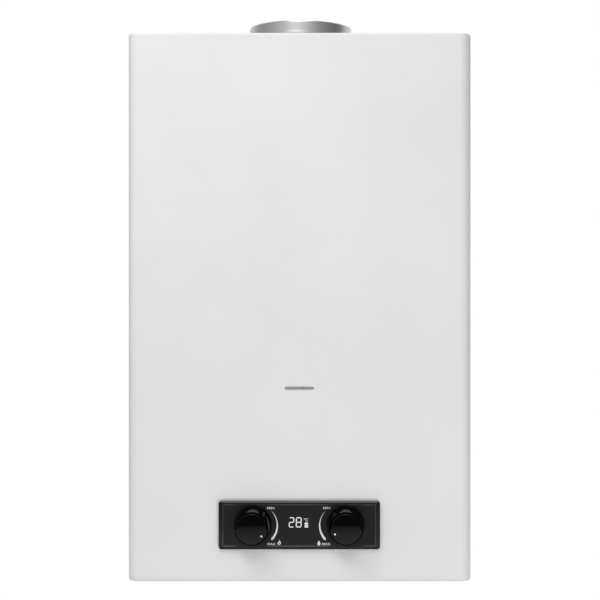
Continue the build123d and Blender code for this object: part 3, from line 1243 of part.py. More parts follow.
def electrode_insulator(x):
    """Ceramic rod with a collar against its plate."""
    front = SHELL_FRONT + ELECTRODE_OUTSIDE
    collar = SHELL_FRONT + ELECTRODE_PLATE
    axis = Pos(x, ELECTRODE_HEIGHT)
    rod = forward(axis * Circle(ELECTRODE_RADIUS), front - ELECTRODE_LENGTH, ELECTRODE_LENGTH)
    return rod + forward(axis * Circle(ELECTRODE_RADIUS + ELECTRODE_RIB), collar, ELECTRODE_RADIUS)


def electrode_insulators():
    return group(electrode_insulator(side * ELECTRODE_X) for side in (-1, 1))


def electrode_rod(x):
    """Wire from the ceramic, bent down to the burner."""
    start = SHELL_FRONT + ELECTRODE_OUTSIDE - ELECTRODE_LENGTH
    elbow = start - ELECTRODE_ROD_REACH
    points = [(x, -start, ELECTRODE_HEIGHT), (x, -elbow, ELECTRODE_HEIGHT)]
    points += [(x, ELECTRODE_TIP_REACH - elbow, BAR_TOP + ELECTRODE_TIP_GAP)]
    return tube(points, ELECTRODE_ROD_BEND, ELECTRODE_ROD_RADIUS)


def electrode_plates():
    """Small plates that clamp the ceramics to the chamber's front."""
    plate = Rectangle(ELECTRODE_PLATE_WIDTH, ELECTRODE_PLATE_HEIGHT)
    plate -= Circle(ELECTRODE_RADIUS + BRAZE_GAP)
    return group(
        forward(Pos(side * ELECTRODE_X, ELECTRODE_HEIGHT) * plate, SHELL_FRONT, ELECTRODE_PLATE)
        for side in (-1, 1)
    )


def control_outline(inset):
    right = CONTROL_LEFT + CONTROL_WIDTH
    high = CONTROL_LOW + CONTROL_HEIGHT
    face = patch(CONTROL_LEFT + inset, right - inset, CONTROL_LOW + inset, high - inset)
    return rounded(face, CONTROL_CORNER - inset)


def control_box():
    """Moulded tray on the back plate, with cable glands below."""
    tray = forward(control_outline(0), PLATE_SHEET, CONTROL_DEPTH)
    room = control_outline(CONTROL_WALL)
    tray -= forward(room, PLATE_SHEET + CONTROL_WALL, CONTROL_DEPTH)
    glands = Pos(CONTROL_LEFT + CONTROL_WIDTH / 2, -GLAND_DEPTH)
    glands *= GridLocations(CONTROL_GLAND_PITCH, 0, CONTROL_GLAND_COUNT, 1)
    glands *= Circle(CONTROL_GLAND_RADIUS)
    return tray + upward(Sketch() + glands, CONTROL_LOW - CONTROL_GLAND, CONTROL_GLAND)


def control_box_lid():
    return forward(control_outline(0), PLATE_SHEET + CONTROL_DEPTH, CONTROL_LID)


def hatch_plan(width, depth):
    return Pos(HATCH_X, -VALVE_DEPTH) * Rectangle(width, depth)


def hinge_round(radius):
    """Circle about the battery lid's hinge, in the side view."""
    return Pos(-HATCH_AXIS_DEPTH, HATCH_AXIS_HEIGHT) * Circle(radius)


def battery_box():
    """Upright box for two cells, open below, with a flange on the floor and hinge lugs."""
    roof = HATCH_ROOF + HATCH_WALL
    box = upward(hatch_plan(HATCH_WIDTH, HATCH_DEPTH), -HATCH_MOUTH, roof + HATCH_MOUTH)
    flange = hatch_plan(HATCH_WIDTH + 2 * HATCH_FLANGE, HATCH_DEPTH + 2 * HATCH_FLANGE)
    box += upward(flange, FLOOR_HIGH, HATCH_FLANGE_SHEET)
    room = hatch_plan(HATCH_INNER_WIDTH, HATCH_INNER_DEPTH)
    box -= upward(room, -HATCH_MOUTH - OVERRUN, HATCH_ROOF + HATCH_MOUTH + OVERRUN)
    middle = HATCH_WIDTH * HATCH_KNUCKLE_SHARE
    starts = [HATCH_X + middle / 2 + SEAT_GAP, HATCH_X - middle / 2 - SEAT_GAP - HATCH_LUG]
    lug = patch(-HATCH_REAR, -HATCH_AXIS_DEPTH, HATCH_AXIS_HEIGHT, FLOOR_LOW - SEAT_GAP)
    lug += hinge_round(HATCH_KNUCKLE_RADIUS)
    lug -= hinge_round(HATCH_PIN_RADIUS + RUNNING_GAP)
    for start in starts:
        box += sideways(lug, start, HATCH_LUG)
    return box


def battery_lid():
    """Lid under the box: plate with a finger lip in front, a barrel and moulded pins behind."""
    front = VALVE_DEPTH + HATCH_DEPTH / 2 + HATCH_LID_LIP
    half = HATCH_WIDTH / 2
    plan = patch(HATCH_X - half, HATCH_X + half, -front, -HATCH_REAR - SEAT_GAP)
    lid = upward(plan, HATCH_LID_TOP - HATCH_LID, HATCH_LID)
    length = HATCH_WIDTH * HATCH_KNUCKLE_SHARE
    start = HATCH_X - length / 2
    arm = patch(-HATCH_REAR - OVERRUN, -HATCH_AXIS_DEPTH, HATCH_LID_TOP - HATCH_LID, HATCH_LID_TOP)
    arm += hinge_round(HATCH_KNUCKLE_RADIUS)
    lid += sideways(arm, start, length)
    reach = SEAT_GAP + HATCH_LUG
    return lid + sideways(hinge_round(HATCH_PIN_RADIUS), start - reach, length + 2 * reach)


def battery_strap():
    """Contact strip on the lid that bridges the two cells."""
    length = HATCH_INNER_DEPTH - 2 * (CELL_GAP + CELL_EDGE + SEAT_GAP)
    side = Pos(-VALVE_DEPTH, HATCH_LID_TOP + STRAP_SHEET / 2) * Rectangle(length, STRAP_SHEET)
    for depth in CELL_DEPTHS:
        side += patch(-depth - CONTACT_RADIUS, CONTACT_RADIUS - depth, HATCH_LID_TOP, STRAP_TOP)
    return sideways(side, HATCH_X - STRAP_WIDTH / 2, STRAP_WIDTH)


def cell():
    """Dry cell standing on its flat end."""
    body = CELL_LENGTH - CELL_NUB
    outline = [(0, 0), (CELL_RADIUS - CELL_EDGE, 0), (CELL_RADIUS, CELL_EDGE)]
    outline += [(CELL_RADIUS, body - CELL_EDGE), (CELL_RADIUS - CELL_EDGE, body)]
    outline += [(CELL_NUB_RADIUS, body)]
    outline += [(CELL_NUB_RADIUS, CELL_LENGTH), (0, CELL_LENGTH)]
    return turned(outline, Plane.XY)


def battery_cells():
    """Two cells in series, one of them upside down."""
    rear, front = CELL_DEPTHS
    upright = cell()
    inverted = Rot(180, 0, 0) * upright
    standing = Pos(HATCH_X, -rear, CELL_LOW) * upright
    return group([standing, Pos(HATCH_X, -front, CELL_HIGH) * inverted])


def battery_contacts():
    """Two sprung cones under the box's roof."""
    tip = CELL_HIGH + SEAT_GAP
    outline = [(0, tip), (CONTACT_TIP_RADIUS, tip), (CONTACT_RADIUS, HATCH_ROOF), (0, HATCH_ROOF)]
    return group(turned(outline, rising(HATCH_X, depth, 0)) for depth in CELL_DEPTHS)


def thermostat(place):
    """Snap-disc thermostat: fixing ears, round body and two terminal tabs."""
    ears = SlotOverall(STAT_EAR_LENGTH, STAT_EAR_WIDTH)
    body = extrude(ears, amount=STAT_EAR) + extrude(Circle(STAT_RADIUS), amount=STAT_BODY)
    tabs = GridLocations(STAT_RADIUS, 0, 2, 1) * Rectangle(STAT_TAB, STAT_TAB_WIDTH)
    body += extrude(Sketch() + tabs, amount=STAT_BODY + STAT_TAB_LENGTH)
    return place.location * body


def thermostats():
    """One on the front of the hood's skirt, one on the hot pipe's clamp."""
    clamp = row_depth(TUBE_ROW_COUNT - 1) + TUBE_RADIUS + BRAZE_GAP + STAT_CLAMP_SHEET
    skirt = facing(0, SHELL_FRONT, SHELL_HIGH + HOOD_SKIRT / 2 + HOOD_SHEET)
    return group(thermostat(place) for place in (skirt, facing(HOT_RUN_X, clamp, HOT_STAT_HEIGHT, 90)))


def thermostat_clamp():
    """Sheet clip round the hot pipe."""
    centre = Pos(HOT_RUN_X, -row_depth(TUBE_ROW_COUNT - 1))
    ring = Circle(TUBE_RADIUS + BRAZE_GAP + STAT_CLAMP_SHEET) - Circle(TUBE_RADIUS + BRAZE_GAP)
    front = -TUBE_RADIUS - BRAZE_GAP - STAT_CLAMP_SHEET
    ring += patch(-STAT_RADIUS, STAT_RADIUS, front, front + STAT_CLAMP_SHEET)
    return upward(centre * ring, HOT_STAT_HEIGHT - STAT_EAR_WIDTH / 2, STAT_EAR_WIDTH)


def gland_x(index):
    """Place of one cable gland under the control box."""
    middle = CONTROL_LEFT + CONTROL_WIDTH / 2
    return middle + (index - (CONTROL_GLAND_COUNT - 1) / 2) * CONTROL_GLAND_PITCH


def lead(route):
    """Insulated wire along (x, depth, height) points that ends upwards in its gland."""
    x, depth, _ = route[-1]
    points = route + [(x, depth, CONTROL_LOW - CONTROL_GLAND)]
    return tube([(across, -away, height) for across, away, height in points], LEAD_BEND, LEAD_RADIUS)


def front_lead(index, start_x, rise):
    """Lead of an electrode: down the chamber's front, past the manifold's end and back."""
    ceramic = SHELL_FRONT + ELECTRODE_OUTSIDE
    front = INNER_FRONT - LEAD_FRONT_GAP
    height = MANIFOLD_HEIGHT + MANIFOLD_SIZE / 2 + rise
    side = MANIFOLD_LENGTH / 2 + FRONT_LEAD_SIDE_GAP + index * FRONT_LEAD_PITCH
    route = [(start_x, ceramic, ELECTRODE_HEIGHT), (start_x, front, ELECTRODE_HEIGHT)]
    route += [(start_x, front, height), (side, front, height), (side, front, FRONT_LEAD_LOW)]
    route += [(side, GLAND_DEPTH + FRONT_LEAD_TURN, FRONT_LEAD_LOW)]
    return lead(route + [(gland_x(index), GLAND_DEPTH, FRONT_LEAD_LOW)])


def display_lead(index):
    plug = FASCIA_REAR - display_length() - BOARD_SHEET - BOARD_PLUG
    route = [(0, plug, KNOB_HEIGHT), (0, DISPLAY_LEAD_DEPTH, KNOB_HEIGHT)]
    route += [(x, DISPLAY_LEAD_DEPTH, DISPLAY_LEAD_LOW) for x in (0, gland_x(index))]
    return lead(route + [(gland_x(index), GLAND_DEPTH, DISPLAY_LEAD_LOW)])


def battery_lead(index):
    depth = CELL_DEPTHS[0]
    roof = HATCH_ROOF + HATCH_WALL
    high = roof + BATTERY_LEAD_RISE
    route = [(HATCH_X, depth, roof), (HATCH_X, depth, high)]
    route += [(gland_x(index), depth - BATTERY_LEAD_REACH, high)]
    return lead(route + [(gland_x(index), GLAND_DEPTH, high)])


def switch_lead(index):
    x = SWITCH_LEFT + SWITCH_HEIGHT / 2
    top = VALVE_HIGH + SWITCH_HEIGHT
    height = top + SWITCH_LEAD_RISE
    route = [(x, VALVE_DEPTH, top), (x, VALVE_DEPTH, height), (x, SWITCH_LEAD_DEPTH, height)]
    route += [(gland_x(index), depth, height) for depth in (SWITCH_LEAD_DEPTH, GLAND_DEPTH)]
    return lead(route)


def solenoid_lead(index):
    x = SOLENOID_X - SOLENOID_TAB_SPACING / 2
    height = SOLENOID_TAB_HEIGHT
    route = [(x, SOLENOID_TAB_DEPTH, height), (x, SOLENOID_LEAD_DEPTH, height)]
    route += [(gland_x(index), depth, height) for depth in (SOLENOID_LEAD_DEPTH, GLAND_DEPTH)]
    return lead(route)


def internal_leads():
    return group([
        front_lead(0, -ELECTRODE_X, SPARK_LEAD_RISE),
        front_lead(1, ELECTRODE_X, FLAME_LEAD_RISE),
        display_lead(2),
        battery_lead(3),
        switch_lead(4),
        solenoid_lead(5),
    ])


PIECES = {
    "front_cover": front_cover,
    "sheet_metal_screws": sheet_metal_screws,
    "back_plate": back_plate,
    "bottom_plate": bottom_plate,
    "flue_collar": flue_collar,
    "flue_hood": flue_hood,
    "heat_exchanger_shell": heat_exchanger_shell,
    "heat_exchanger_fins": heat_exchanger_fins,
    "heat_exchanger_tubes": heat_exchanger_tubes,
    "heat_exchanger_coil": heat_exchanger_coil,
    "cold_water_pipe": cold_water_pipe,
    "hot_water_pipe": hot_water_pipe,
    "pipe_nuts": pipe_nuts,
    "burner_bars": burner_bars,
    "burner_box": burner_box,
    "burner_stays": burner_stays,
    "gas_manifold": gas_manifold,
    "gas_injectors": gas_injectors,
    "gas_riser": gas_riser,
    "gas_valve_body": gas_valve_body,
    "gas_solenoid": gas_solenoid,
    "gas_inlet": lambda: connector(GAS_X),
    "water_valve_body": water_valve_body,
    "diaphragm_cover": diaphragm_cover,
    "diaphragm": diaphragm,
    "diaphragm_screws": diaphragm_screws,
    "cold_water_inlet": lambda: connector(WATER_X),
    "inlet_filter": inlet_filter,
    "hot_water_outlet": lambda: connector(HOT_X),
    "drain_plug": drain_plug,
    "drain_seal": drain_seal,
    "valve_bracket": valve_bracket,
    "flow_rod": flow_rod,
    "micro_switch": micro_switch,
    "switch_lever": switch_lever,
    "spindle_glands": spindle_glands,
    "gas_spindle": lambda: spindle(GAS_X, GAS_DOT_ANGLE),
    "gas_knob": lambda: knob(GAS_X, GAS_DOT_ANGLE),
    "gas_knob_clip": lambda: knob_clip(GAS_X, GAS_DOT_ANGLE),
    "water_spindle": lambda: spindle(WATER_X, WATER_DOT_ANGLE),
    "water_knob": lambda: knob(WATER_X, WATER_DOT_ANGLE),
    "water_knob_clip": lambda: knob_clip(WATER_X, WATER_DOT_ANGLE),
    "panel_bezel": panel_bezel,
    "panel_fascia": panel_fascia,
    "display_module": display_module,
    "sight_mesh": sight_mesh,
    "electrode_insulators": electrode_insulators,
    "spark_electrode": lambda: electrode_rod(-ELECTRODE_X),
    "flame_sensor": lambda: electrode_rod(ELECTRODE_X),
    "electrode_plates": electrode_plates,
    "control_box": control_box,
    "control_box_lid": control_box_lid,
    "battery_box": battery_box,
    "battery_cells": battery_cells,
    "battery_contacts": battery_contacts,
    "battery_lid": battery_lid,
    "battery_strap": battery_strap,
    "thermostats": thermostats,
    "thermostat_clamp": thermostat_clamp,
    "internal_leads": internal_leads,
}

for name, make in PIECES.items():
    solids = [Pos(0, 0, -CASE_HEIGHT / 2) * solid for solid in make().solids()]
    export_step(group(solids), f"parts/{name}.step")
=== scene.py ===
import json
import math

import bmesh
import bpy
from mathutils import Matrix, Vector

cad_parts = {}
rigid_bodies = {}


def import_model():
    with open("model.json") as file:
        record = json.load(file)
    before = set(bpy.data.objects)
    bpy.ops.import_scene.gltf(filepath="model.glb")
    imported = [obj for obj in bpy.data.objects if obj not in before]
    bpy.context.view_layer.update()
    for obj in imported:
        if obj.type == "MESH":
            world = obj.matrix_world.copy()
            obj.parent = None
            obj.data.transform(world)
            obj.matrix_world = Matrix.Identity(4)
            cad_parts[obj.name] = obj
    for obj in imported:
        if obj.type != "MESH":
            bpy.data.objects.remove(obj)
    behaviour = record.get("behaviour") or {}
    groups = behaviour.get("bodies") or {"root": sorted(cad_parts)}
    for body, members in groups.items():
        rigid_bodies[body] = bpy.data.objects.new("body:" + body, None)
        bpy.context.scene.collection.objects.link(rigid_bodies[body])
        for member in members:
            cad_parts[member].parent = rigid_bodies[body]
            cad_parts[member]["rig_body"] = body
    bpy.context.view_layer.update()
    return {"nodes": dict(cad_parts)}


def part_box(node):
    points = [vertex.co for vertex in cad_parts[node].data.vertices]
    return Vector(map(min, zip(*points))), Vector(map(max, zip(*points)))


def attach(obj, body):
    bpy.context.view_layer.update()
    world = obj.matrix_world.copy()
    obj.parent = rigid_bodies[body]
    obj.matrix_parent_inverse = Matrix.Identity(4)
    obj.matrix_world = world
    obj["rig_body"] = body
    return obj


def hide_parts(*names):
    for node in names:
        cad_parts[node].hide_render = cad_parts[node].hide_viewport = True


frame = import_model()
scene = bpy.context.scene
scene.view_settings.view_transform = "Standard"


# Front cover: folded from one sheet of 1 mm steel, open at the back, with rounded upright edges
# and a turned-in lip below. Powder coated satin white; it hooks on and takes two screws above
# and two below.
cover_half = 0.172
cover_front = -0.155
cover_back = -0.0015
cover_rise = 0.2745
cover_edge_radius = 0.011
cover_rim_radius = 0.0026
cover_sheet = 0.001
cover_lip = 0.014
flue_y = -0.080
flue_notch = 0.056
panel_z = -0.2175
panel_hole_half, panel_hole_rise = 0.0745, 0.018
sight_z = -0.0812
sight_half, sight_rise, sight_end_radius = 0.01475, 0.0016, 0.00159
screw_hole = 0.00205
upper_screw_x, upper_screw_y = 0.090, -0.012
lower_screw_x, lower_screw_y = 0.165, -0.110
cut_front, cut_back, cut_behind = -0.16, -0.15, 0.01
cut_low, cut_high = 0.265, 0.285
screw_cut_low, screw_cut_high = 0.27, 0.28
squarely = 0.99


def coat(name):
    """A new finish: its shader, its nodes, and Object coordinates to draw its pattern on."""
    material = bpy.data.materials.new(name)
    material.use_nodes = True
    tree = material.node_tree
    place = tree.nodes.new("ShaderNodeTexCoord").outputs["Object"]
    return material, tree, tree.nodes["Principled BSDF"], place


def speckle(tree, place, scale, detail=3.0, stretch=(1.0, 1.0, 1.0)):
    """Noise over the piece, stretched where the finish has a direction."""
    mapping = tree.nodes.new("ShaderNodeMapping")
    mapping.inputs["Scale"].default_value = stretch
    tree.links.new(place, mapping.inputs["Vector"])
    noise = tree.nodes.new("ShaderNodeTexNoise")
    noise.inputs["Scale"].default_value = scale
    noise.inputs["Detail"].default_value = detail
    tree.links.new(mapping.outputs["Vector"], noise.inputs["Vector"])
    return noise.outputs["Fac"]


def between(tree, amount, socket, low, high):
    """Lets a pattern swing a shader's value between two ends."""
    swing = tree.nodes.new("ShaderNodeMapRange")
    swing.inputs["From Min"].default_value = 0.3
    swing.inputs["From Max"].default_value = 0.7
    swing.inputs["To Min"].default_value = low
    swing.inputs["To Max"].default_value = high
    tree.links.new(amount, swing.inputs["Value"])
    tree.links.new(swing.outputs["Result"], socket)


def blended(tree, amount, socket, dark, light):
    """Lets a pattern mix a shader's colour from two."""
    ramp = tree.nodes.new("ShaderNodeValToRGB")
    ramp.color_ramp.elements[0].position = 0.32
    ramp.color_ramp.elements[0].color = (*dark, 1.0)
    ramp.color_ramp.elements[1].position = 0.68
    ramp.color_ramp.elements[1].color = (*light, 1.0)
    tree.links.new(amount, ramp.inputs["Fac"])
    tree.links.new(ramp.outputs["Color"], socket)


def raised(tree, amount, shader, strength, height=0.0001):
    """Turns a pattern into surface relief."""
    bump = tree.nodes.new("ShaderNodeBump")
    bump.inputs["Strength"].default_value = strength
    bump.inputs["Distance"].default_value = height
    tree.links.new(amount, bump.inputs["Height"])
    tree.links.new(bump.outputs["Normal"], shader.inputs["Normal"])


def powder_coat(name, dark, light, roughness, swing=0.03):
    """Sprayed and baked powder: a faint cloud in the tone and orange peel in the surface."""
    material, tree, shader, place = coat(name)
    blended(tree, speckle(tree, place, scale=9.0), shader.inputs["Base Color"], dark, light)
    patches = speckle(tree, place, scale=60.0)
    between(tree, patches, shader.inputs["Roughness"], roughness - swing, roughness + swing)
    peel = speckle(tree, place, scale=700.0, detail=2.0)
    raised(tree, peel, shader, strength=0.10, height=0.0002)
    shader.inputs["IOR"].default_value = 1.45
    return material


def box_form(low, high):
    """A closed box between two corners."""
    form = bmesh.new()
    low, high = Vector(low), Vector(high)
    bmesh.ops.create_cube(form, size=1.0)
    bmesh.ops.scale(form, vec=high - low, verts=form.verts)
    bmesh.ops.translate(form, vec=(low + high) / 2, verts=form.verts)
    return form


def disc_form(centre, radius, low, high, segments):
    """A closed upright cylinder."""
    form = bmesh.new()
    bmesh.ops.create_cone(form, cap_ends=True, segments=segments, radius1=radius, radius2=radius,
                          depth=high - low)
    bmesh.ops.translate(form, vec=(*centre, (low + high) / 2), verts=form.verts)
    return form


def rounded(form, parts, radius, segments, affect="EDGES"):
    """Rounds edges or corners of a form."""
    bmesh.ops.bevel(form, geom=parts, offset=radius, offset_type="OFFSET", affect=affect,
                    segments=segments, profile=0.5, material=-1)


def made(name, form, material=None, smooth=True):
    """The object of a finished form."""
    mesh = bpy.data.meshes.new(name)
    form.to_mesh(mesh)
    form.free()
    for face in mesh.polygons:
        face.use_smooth = smooth
    piece = bpy.data.objects.new(name, mesh)
    scene.collection.objects.link(piece)
    if material:
        mesh.materials.append(material)
    return piece


def settled(piece):
    """Applies the piece's modifiers to its mesh."""
    old = piece.data
    shape = piece.evaluated_get(bpy.context.evaluated_depsgraph_get())
    piece.data = bpy.data.meshes.new_from_object(shape)
    piece.modifiers.clear()
    bpy.data.meshes.remove(old)


def pierced(piece, cutters):
    """Cuts each closed form out of the piece."""
    for form in cutters:
        cutter = made("cutter", form)
        cut = piece.modifiers.new("cut", "BOOLEAN")
        cut.operation = "DIFFERENCE"
        cut.solver = "EXACT"
        cut.object = cutter
        settled(piece)
        mesh = cutter.data
        bpy.data.objects.remove(cutter)
        bpy.data.meshes.remove(mesh)


def eased(piece, width, segments=2, limit=40.0):
    """Breaks the piece's sharp edges and evens its shading."""
    bevel = piece.modifiers.new("eased_edges", "BEVEL")
    bevel.width = width
    bevel.segments = segments
    bevel.limit_method = "ANGLE"
    bevel.angle_limit = math.radians(limit)
    bevel.harden_normals = True
    even = piece.modifiers.new("even_shading", "WEIGHTED_NORMAL")
    even.keep_sharp = True


white_enamel = powder_coat("white_enamel", (0.79, 0.79, 0.79), (0.82, 0.82, 0.82), 0.42)

form = box_form((-cover_half, cover_front, -cover_rise), (cover_half, cover_back, cover_rise))
back = [face for face in form.faces if face.normal.y > squarely]
bmesh.ops.delete(form, geom=back, context="FACES")
uprights = []
for edge in form.edges:
    one, other = (vert.co for vert in edge.verts)
    if abs(one.z - other.z) > cover_rise and one.y < cover_front / 2:
        uprights.append(edge)
rounded(form, uprights, cover_edge_radius, segments=14)
rims = {
    edge for face in form.faces if abs(face.normal.z) > squarely
    for edge in face.edges if not edge.is_boundary
}
rounded(form, list(rims), cover_rim_radius, segments=6)
mouth = cover_half - cover_lip
mouth_front = cover_front + cover_lip
mouth_sides = [((mouth, 0, 0), (1, 0, 0)), ((-mouth, 0, 0), (1, 0, 0)),
               ((0, mouth_front, 0), (0, 1, 0))]
for point, normal in mouth_sides:
    floor_faces = [face for face in form.faces if face.normal.z < -squarely]
    edges = {edge for face in floor_faces for edge in face.edges}
    corners = {vert for face in floor_faces for vert in face.verts}
    bmesh.ops.bisect_plane(form, geom=[*floor_faces, *edges, *corners], plane_co=point,
                           plane_no=normal)
inside = []
for face in form.faces:
    middle = face.calc_center_median()
    if face.normal.z < -squarely and abs(middle.x) < mouth and middle.y > mouth_front:
        inside.append(face)
bmesh.ops.delete(form, geom=inside, context="FACES")
front_cover = made("casing_cover", form, white_enamel)
wall = front_cover.modifiers.new("sheet", "SOLIDIFY")
wall.thickness = cover_sheet
wall.offset = -1.0
wall.use_even_offset = True
settled(front_cover)
slot_form = box_form((-sight_half, cut_front, sight_z - sight_rise),
                     (sight_half, cut_back, sight_z + sight_rise))
ends = [
    edge for edge in slot_form.edges
    if abs(edge.verts[0].co.y - edge.verts[1].co.y) > sight_rise
]
rounded(slot_form, ends, sight_end_radius, segments=8)
cutters = [
    disc_form((0.0, flue_y), flue_notch, cut_low, cut_high, segments=96),
    box_form((-flue_notch, flue_y, cut_low), (flue_notch, cut_behind, cut_high)),
    slot_form,
    box_form((-panel_hole_half, cut_front, panel_z - panel_hole_rise),
             (panel_hole_half, cut_back, panel_z + panel_hole_rise)),
]
for side in (1, -1):
    place = (side * lower_screw_x, lower_screw_y)
    cutters.append(disc_form(place, screw_hole, -screw_cut_high, -screw_cut_low, segments=24))
for side in (1, -1):
    place = (side * upper_screw_x, upper_screw_y)
    cutters.append(disc_form(place, screw_hole, screw_cut_low, screw_cut_high, segments=24))
pierced(front_cover, cutters)
eased(front_cover, 0.0004, segments=3, limit=50.0)
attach(front_cover, "chassis")
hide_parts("front_cover")


# Sight mesh: a strip of expanded stainless sheet with diamond openings, spot-welded behind the
# slot that the flame is watched through. Its strands are drawn as two crossed layers.
strand, strand_pitch = 0.00058, 0.0030
strand_depth, strand_length = 0.0004, 0.030
strands_each_side = 9
strand_layers = [(-0.1538, math.pi / 4), (-0.1534, -math.pi / 4)]
mesh_wide, mesh_tall = 0.01975, 0.0066


def drawn_steel(name, dark, light, low, high, stretch, scale=40.0, relief=0.05, shine=1.0):
    """Bare steel with the fine lines that rolling, spinning or drawing leaves."""
    material, tree, shader, place = coat(name)
    lines = speckle(tree, place, scale, 4.0, stretch)
    blended(tree, lines, shader.inputs["Base Color"], dark, light)
    between(tree, lines, shader.inputs["Roughness"], low, high)
    raised(tree, lines, shader, relief)
    shader.inputs["Metallic"].default_value = shine
    return material


mesh_steel = drawn_steel("mesh_steel", (0.70, 0.70, 0.70), (0.80, 0.80, 0.80), 0.50, 0.62,
                         stretch=(6.0, 1.0, 6.0), shine=0.1)
form = bmesh.new()
for layer, turn in strand_layers:
    for count in range(-strands_each_side, strands_each_side + 1):
        place = Matrix.Translation((count * strand_pitch, layer, 0.0))
        size = Matrix.Diagonal((strand, strand_depth, strand_length, 1.0))
        bmesh.ops.create_cube(form, size=1.0, matrix=place @ Matrix.Rotation(turn, 4, "Y") @ size)
strip_sides = [((mesh_wide, 0, 0), (1, 0, 0)), ((-mesh_wide, 0, 0), (-1, 0, 0)),
               ((0, 0, mesh_tall), (0, 0, 1)), ((0, 0, -mesh_tall), (0, 0, -1))]
for point, normal in strip_sides:
    parts = [*form.verts, *form.edges, *form.faces]
    cut = bmesh.ops.bisect_plane(form, geom=parts, plane_co=point, plane_no=normal,
                                 clear_outer=True)
    open_edges = [part for part in cut["geom_cut"] if isinstance(part, bmesh.types.BMEdge)]
    bmesh.ops.holes_fill(form, edges=open_edges, sides=0)
bmesh.ops.translate(form, vec=(0.0, 0.0, sight_z), verts=form.verts)
bmesh.ops.recalc_face_normals(form, faces=form.faces)
sight_mesh = made("sight_mesh_strip", form, mesh_steel, False)
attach(sight_mesh, "chassis")
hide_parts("sight_mesh")


# Flue collar: spun from 0.8 mm bright steel, with a foot on the hood, a stop bead at the casing's
# top, a slightly narrower upper half and a rim curled inwards, over which the flue pipe is pushed.
flue_radius, flue_inner = 0.0535, 0.0527
neck_radius, neck_inner = 0.0532, 0.0524
flue_foot = 0.058
flue_outline = [
    (flue_inner, 0.2375), (flue_foot, 0.2375), (flue_foot, 0.2383), (flue_radius, 0.2383),
    (flue_radius, 0.2721), (0.0543, 0.2725), (0.0547, 0.2733), (0.0543, 0.2741),
    (flue_radius, 0.2745), (flue_radius, 0.2792), (0.05345, 0.2798), (0.05325, 0.2806),
    (neck_radius, 0.2813), (neck_radius, 0.2890), (0.05308, 0.2897), (0.0527, 0.2904),
    (0.0521, 0.29085), (0.0515, 0.2910), (0.0515, 0.2902), (0.0518, 0.29005),
    (0.0522, 0.2897), (neck_inner, 0.2891), (neck_inner, 0.2813), (flue_inner, 0.2792),
]


def turned_form(outline, closed=True, segments=96):
    """A ring or disc spun from an outline of radius and height."""
    form = bmesh.new()
    verts = [form.verts.new((radius, 0.0, height)) for radius, height in outline]
    pairs = list(zip(verts, verts[1:]))
    if closed:
        pairs.append((verts[-1], verts[0]))
    edges = [form.edges.new(pair) for pair in pairs]
    bmesh.ops.spin(form, geom=verts + edges, cent=(0, 0, 0), axis=(0, 0, 1), dvec=(0, 0, 0),
                   angle=math.tau, steps=segments, use_merge=True, use_duplicate=False)
    bmesh.ops.remove_doubles(form, verts=form.verts, dist=1e-6)
    bmesh.ops.recalc_face_normals(form, faces=form.faces)
    return form


spun_steel = drawn_steel("spun_steel", (0.66, 0.66, 0.67), (0.71, 0.71, 0.72), 0.13, 0.17,
                         stretch=(1.0, 1.0, 30.0), scale=30.0, relief=0.015)
form = turned_form(flue_outline, segments=128)
bmesh.ops.translate(form, vec=(0.0, flue_y, 0.0), verts=form.verts)
flue_collar = made("flue_spigot_ring", form, spun_steel)
eased(flue_collar, 0.00012, limit=30.0)
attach(flue_collar, "chassis")
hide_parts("flue_collar")


# Panel bezel: injection moulded in gloss black, snapped into the cover by four lugs. Its border
# is bevelled all round and the fascia lies sunk in it.
def moulded(name, dark, light, low, high, grain, relief, ior=1.45):
    """Moulded plastic or rubber: even colour with the mould's fine texture."""
    material, tree, shader, place = coat(name)
    blended(tree, speckle(tree, place, scale=35.0), shader.inputs["Base Color"], dark, light)
    texture = speckle(tree, place, grain, 2.0)
    between(tree, texture, shader.inputs["Roughness"], low, high)
    raised(tree, texture, shader, relief)
    shader.inputs["IOR"].default_value = ior
    return material


def dressed(node, name, material, width):
    """A merged copy of a solid with its edges eased, in place of the solid."""
    form = bmesh.new()
    form.from_mesh(frame["nodes"][node].data)
    bmesh.ops.remove_doubles(form, verts=form.verts, dist=1e-6)
    bmesh.ops.dissolve_limit(form, angle_limit=math.radians(0.4), verts=form.verts,
                             edges=form.edges)
    piece = made(name, form, material)
    eased(piece, width, limit=35.0)
    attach(piece, frame["nodes"][node]["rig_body"])
    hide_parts(node)
    return piece


gloss_black = moulded("gloss_black", (0.0022, 0.0022, 0.0023), (0.0028, 0.0028, 0.0029),
                      0.15, 0.19, grain=900.0, relief=0.005, ior=1.36)
bezel = dressed("panel_bezel", "bezel_frame", gloss_black, 0.0003)


# Fascia: a smoked acrylic plate with a polished edge, glued into the bezel and printed white with
# the two scales and their words and signs. The display's digits shine through its middle. Along
# the edge runs a strip drawn a lighter grey than the acrylic: a painted highlight of that edge.
fascia_face = -0.1607
print_height = 0.00003
arc_radius = 0.0204
arc_start, arc_sweep = math.radians(43.0), math.radians(-84.5)
arc_thin, arc_thick = 0.00010, 0.00112
min_size, max_size = (0.0071, 0.0023), (0.0083, 0.0024)
min_height, max_height = 0.01722, -0.01862
sign_size = 0.0026
edge_wide, edge_tall = 0.1532, 0.0421
edge_corner, edge_line_width, edge_rise = 0.0012, 0.0009, 0.0006
smoked_acrylic = moulded("smoked_acrylic", (0.0034, 0.0034, 0.0036), (0.0044, 0.0044, 0.0046),
                         0.34, 0.40, grain=1200.0, relief=0.02, ior=1.32)
fascia = dressed("panel_fascia", "fascia_plate", smoked_acrylic, 0.00015)


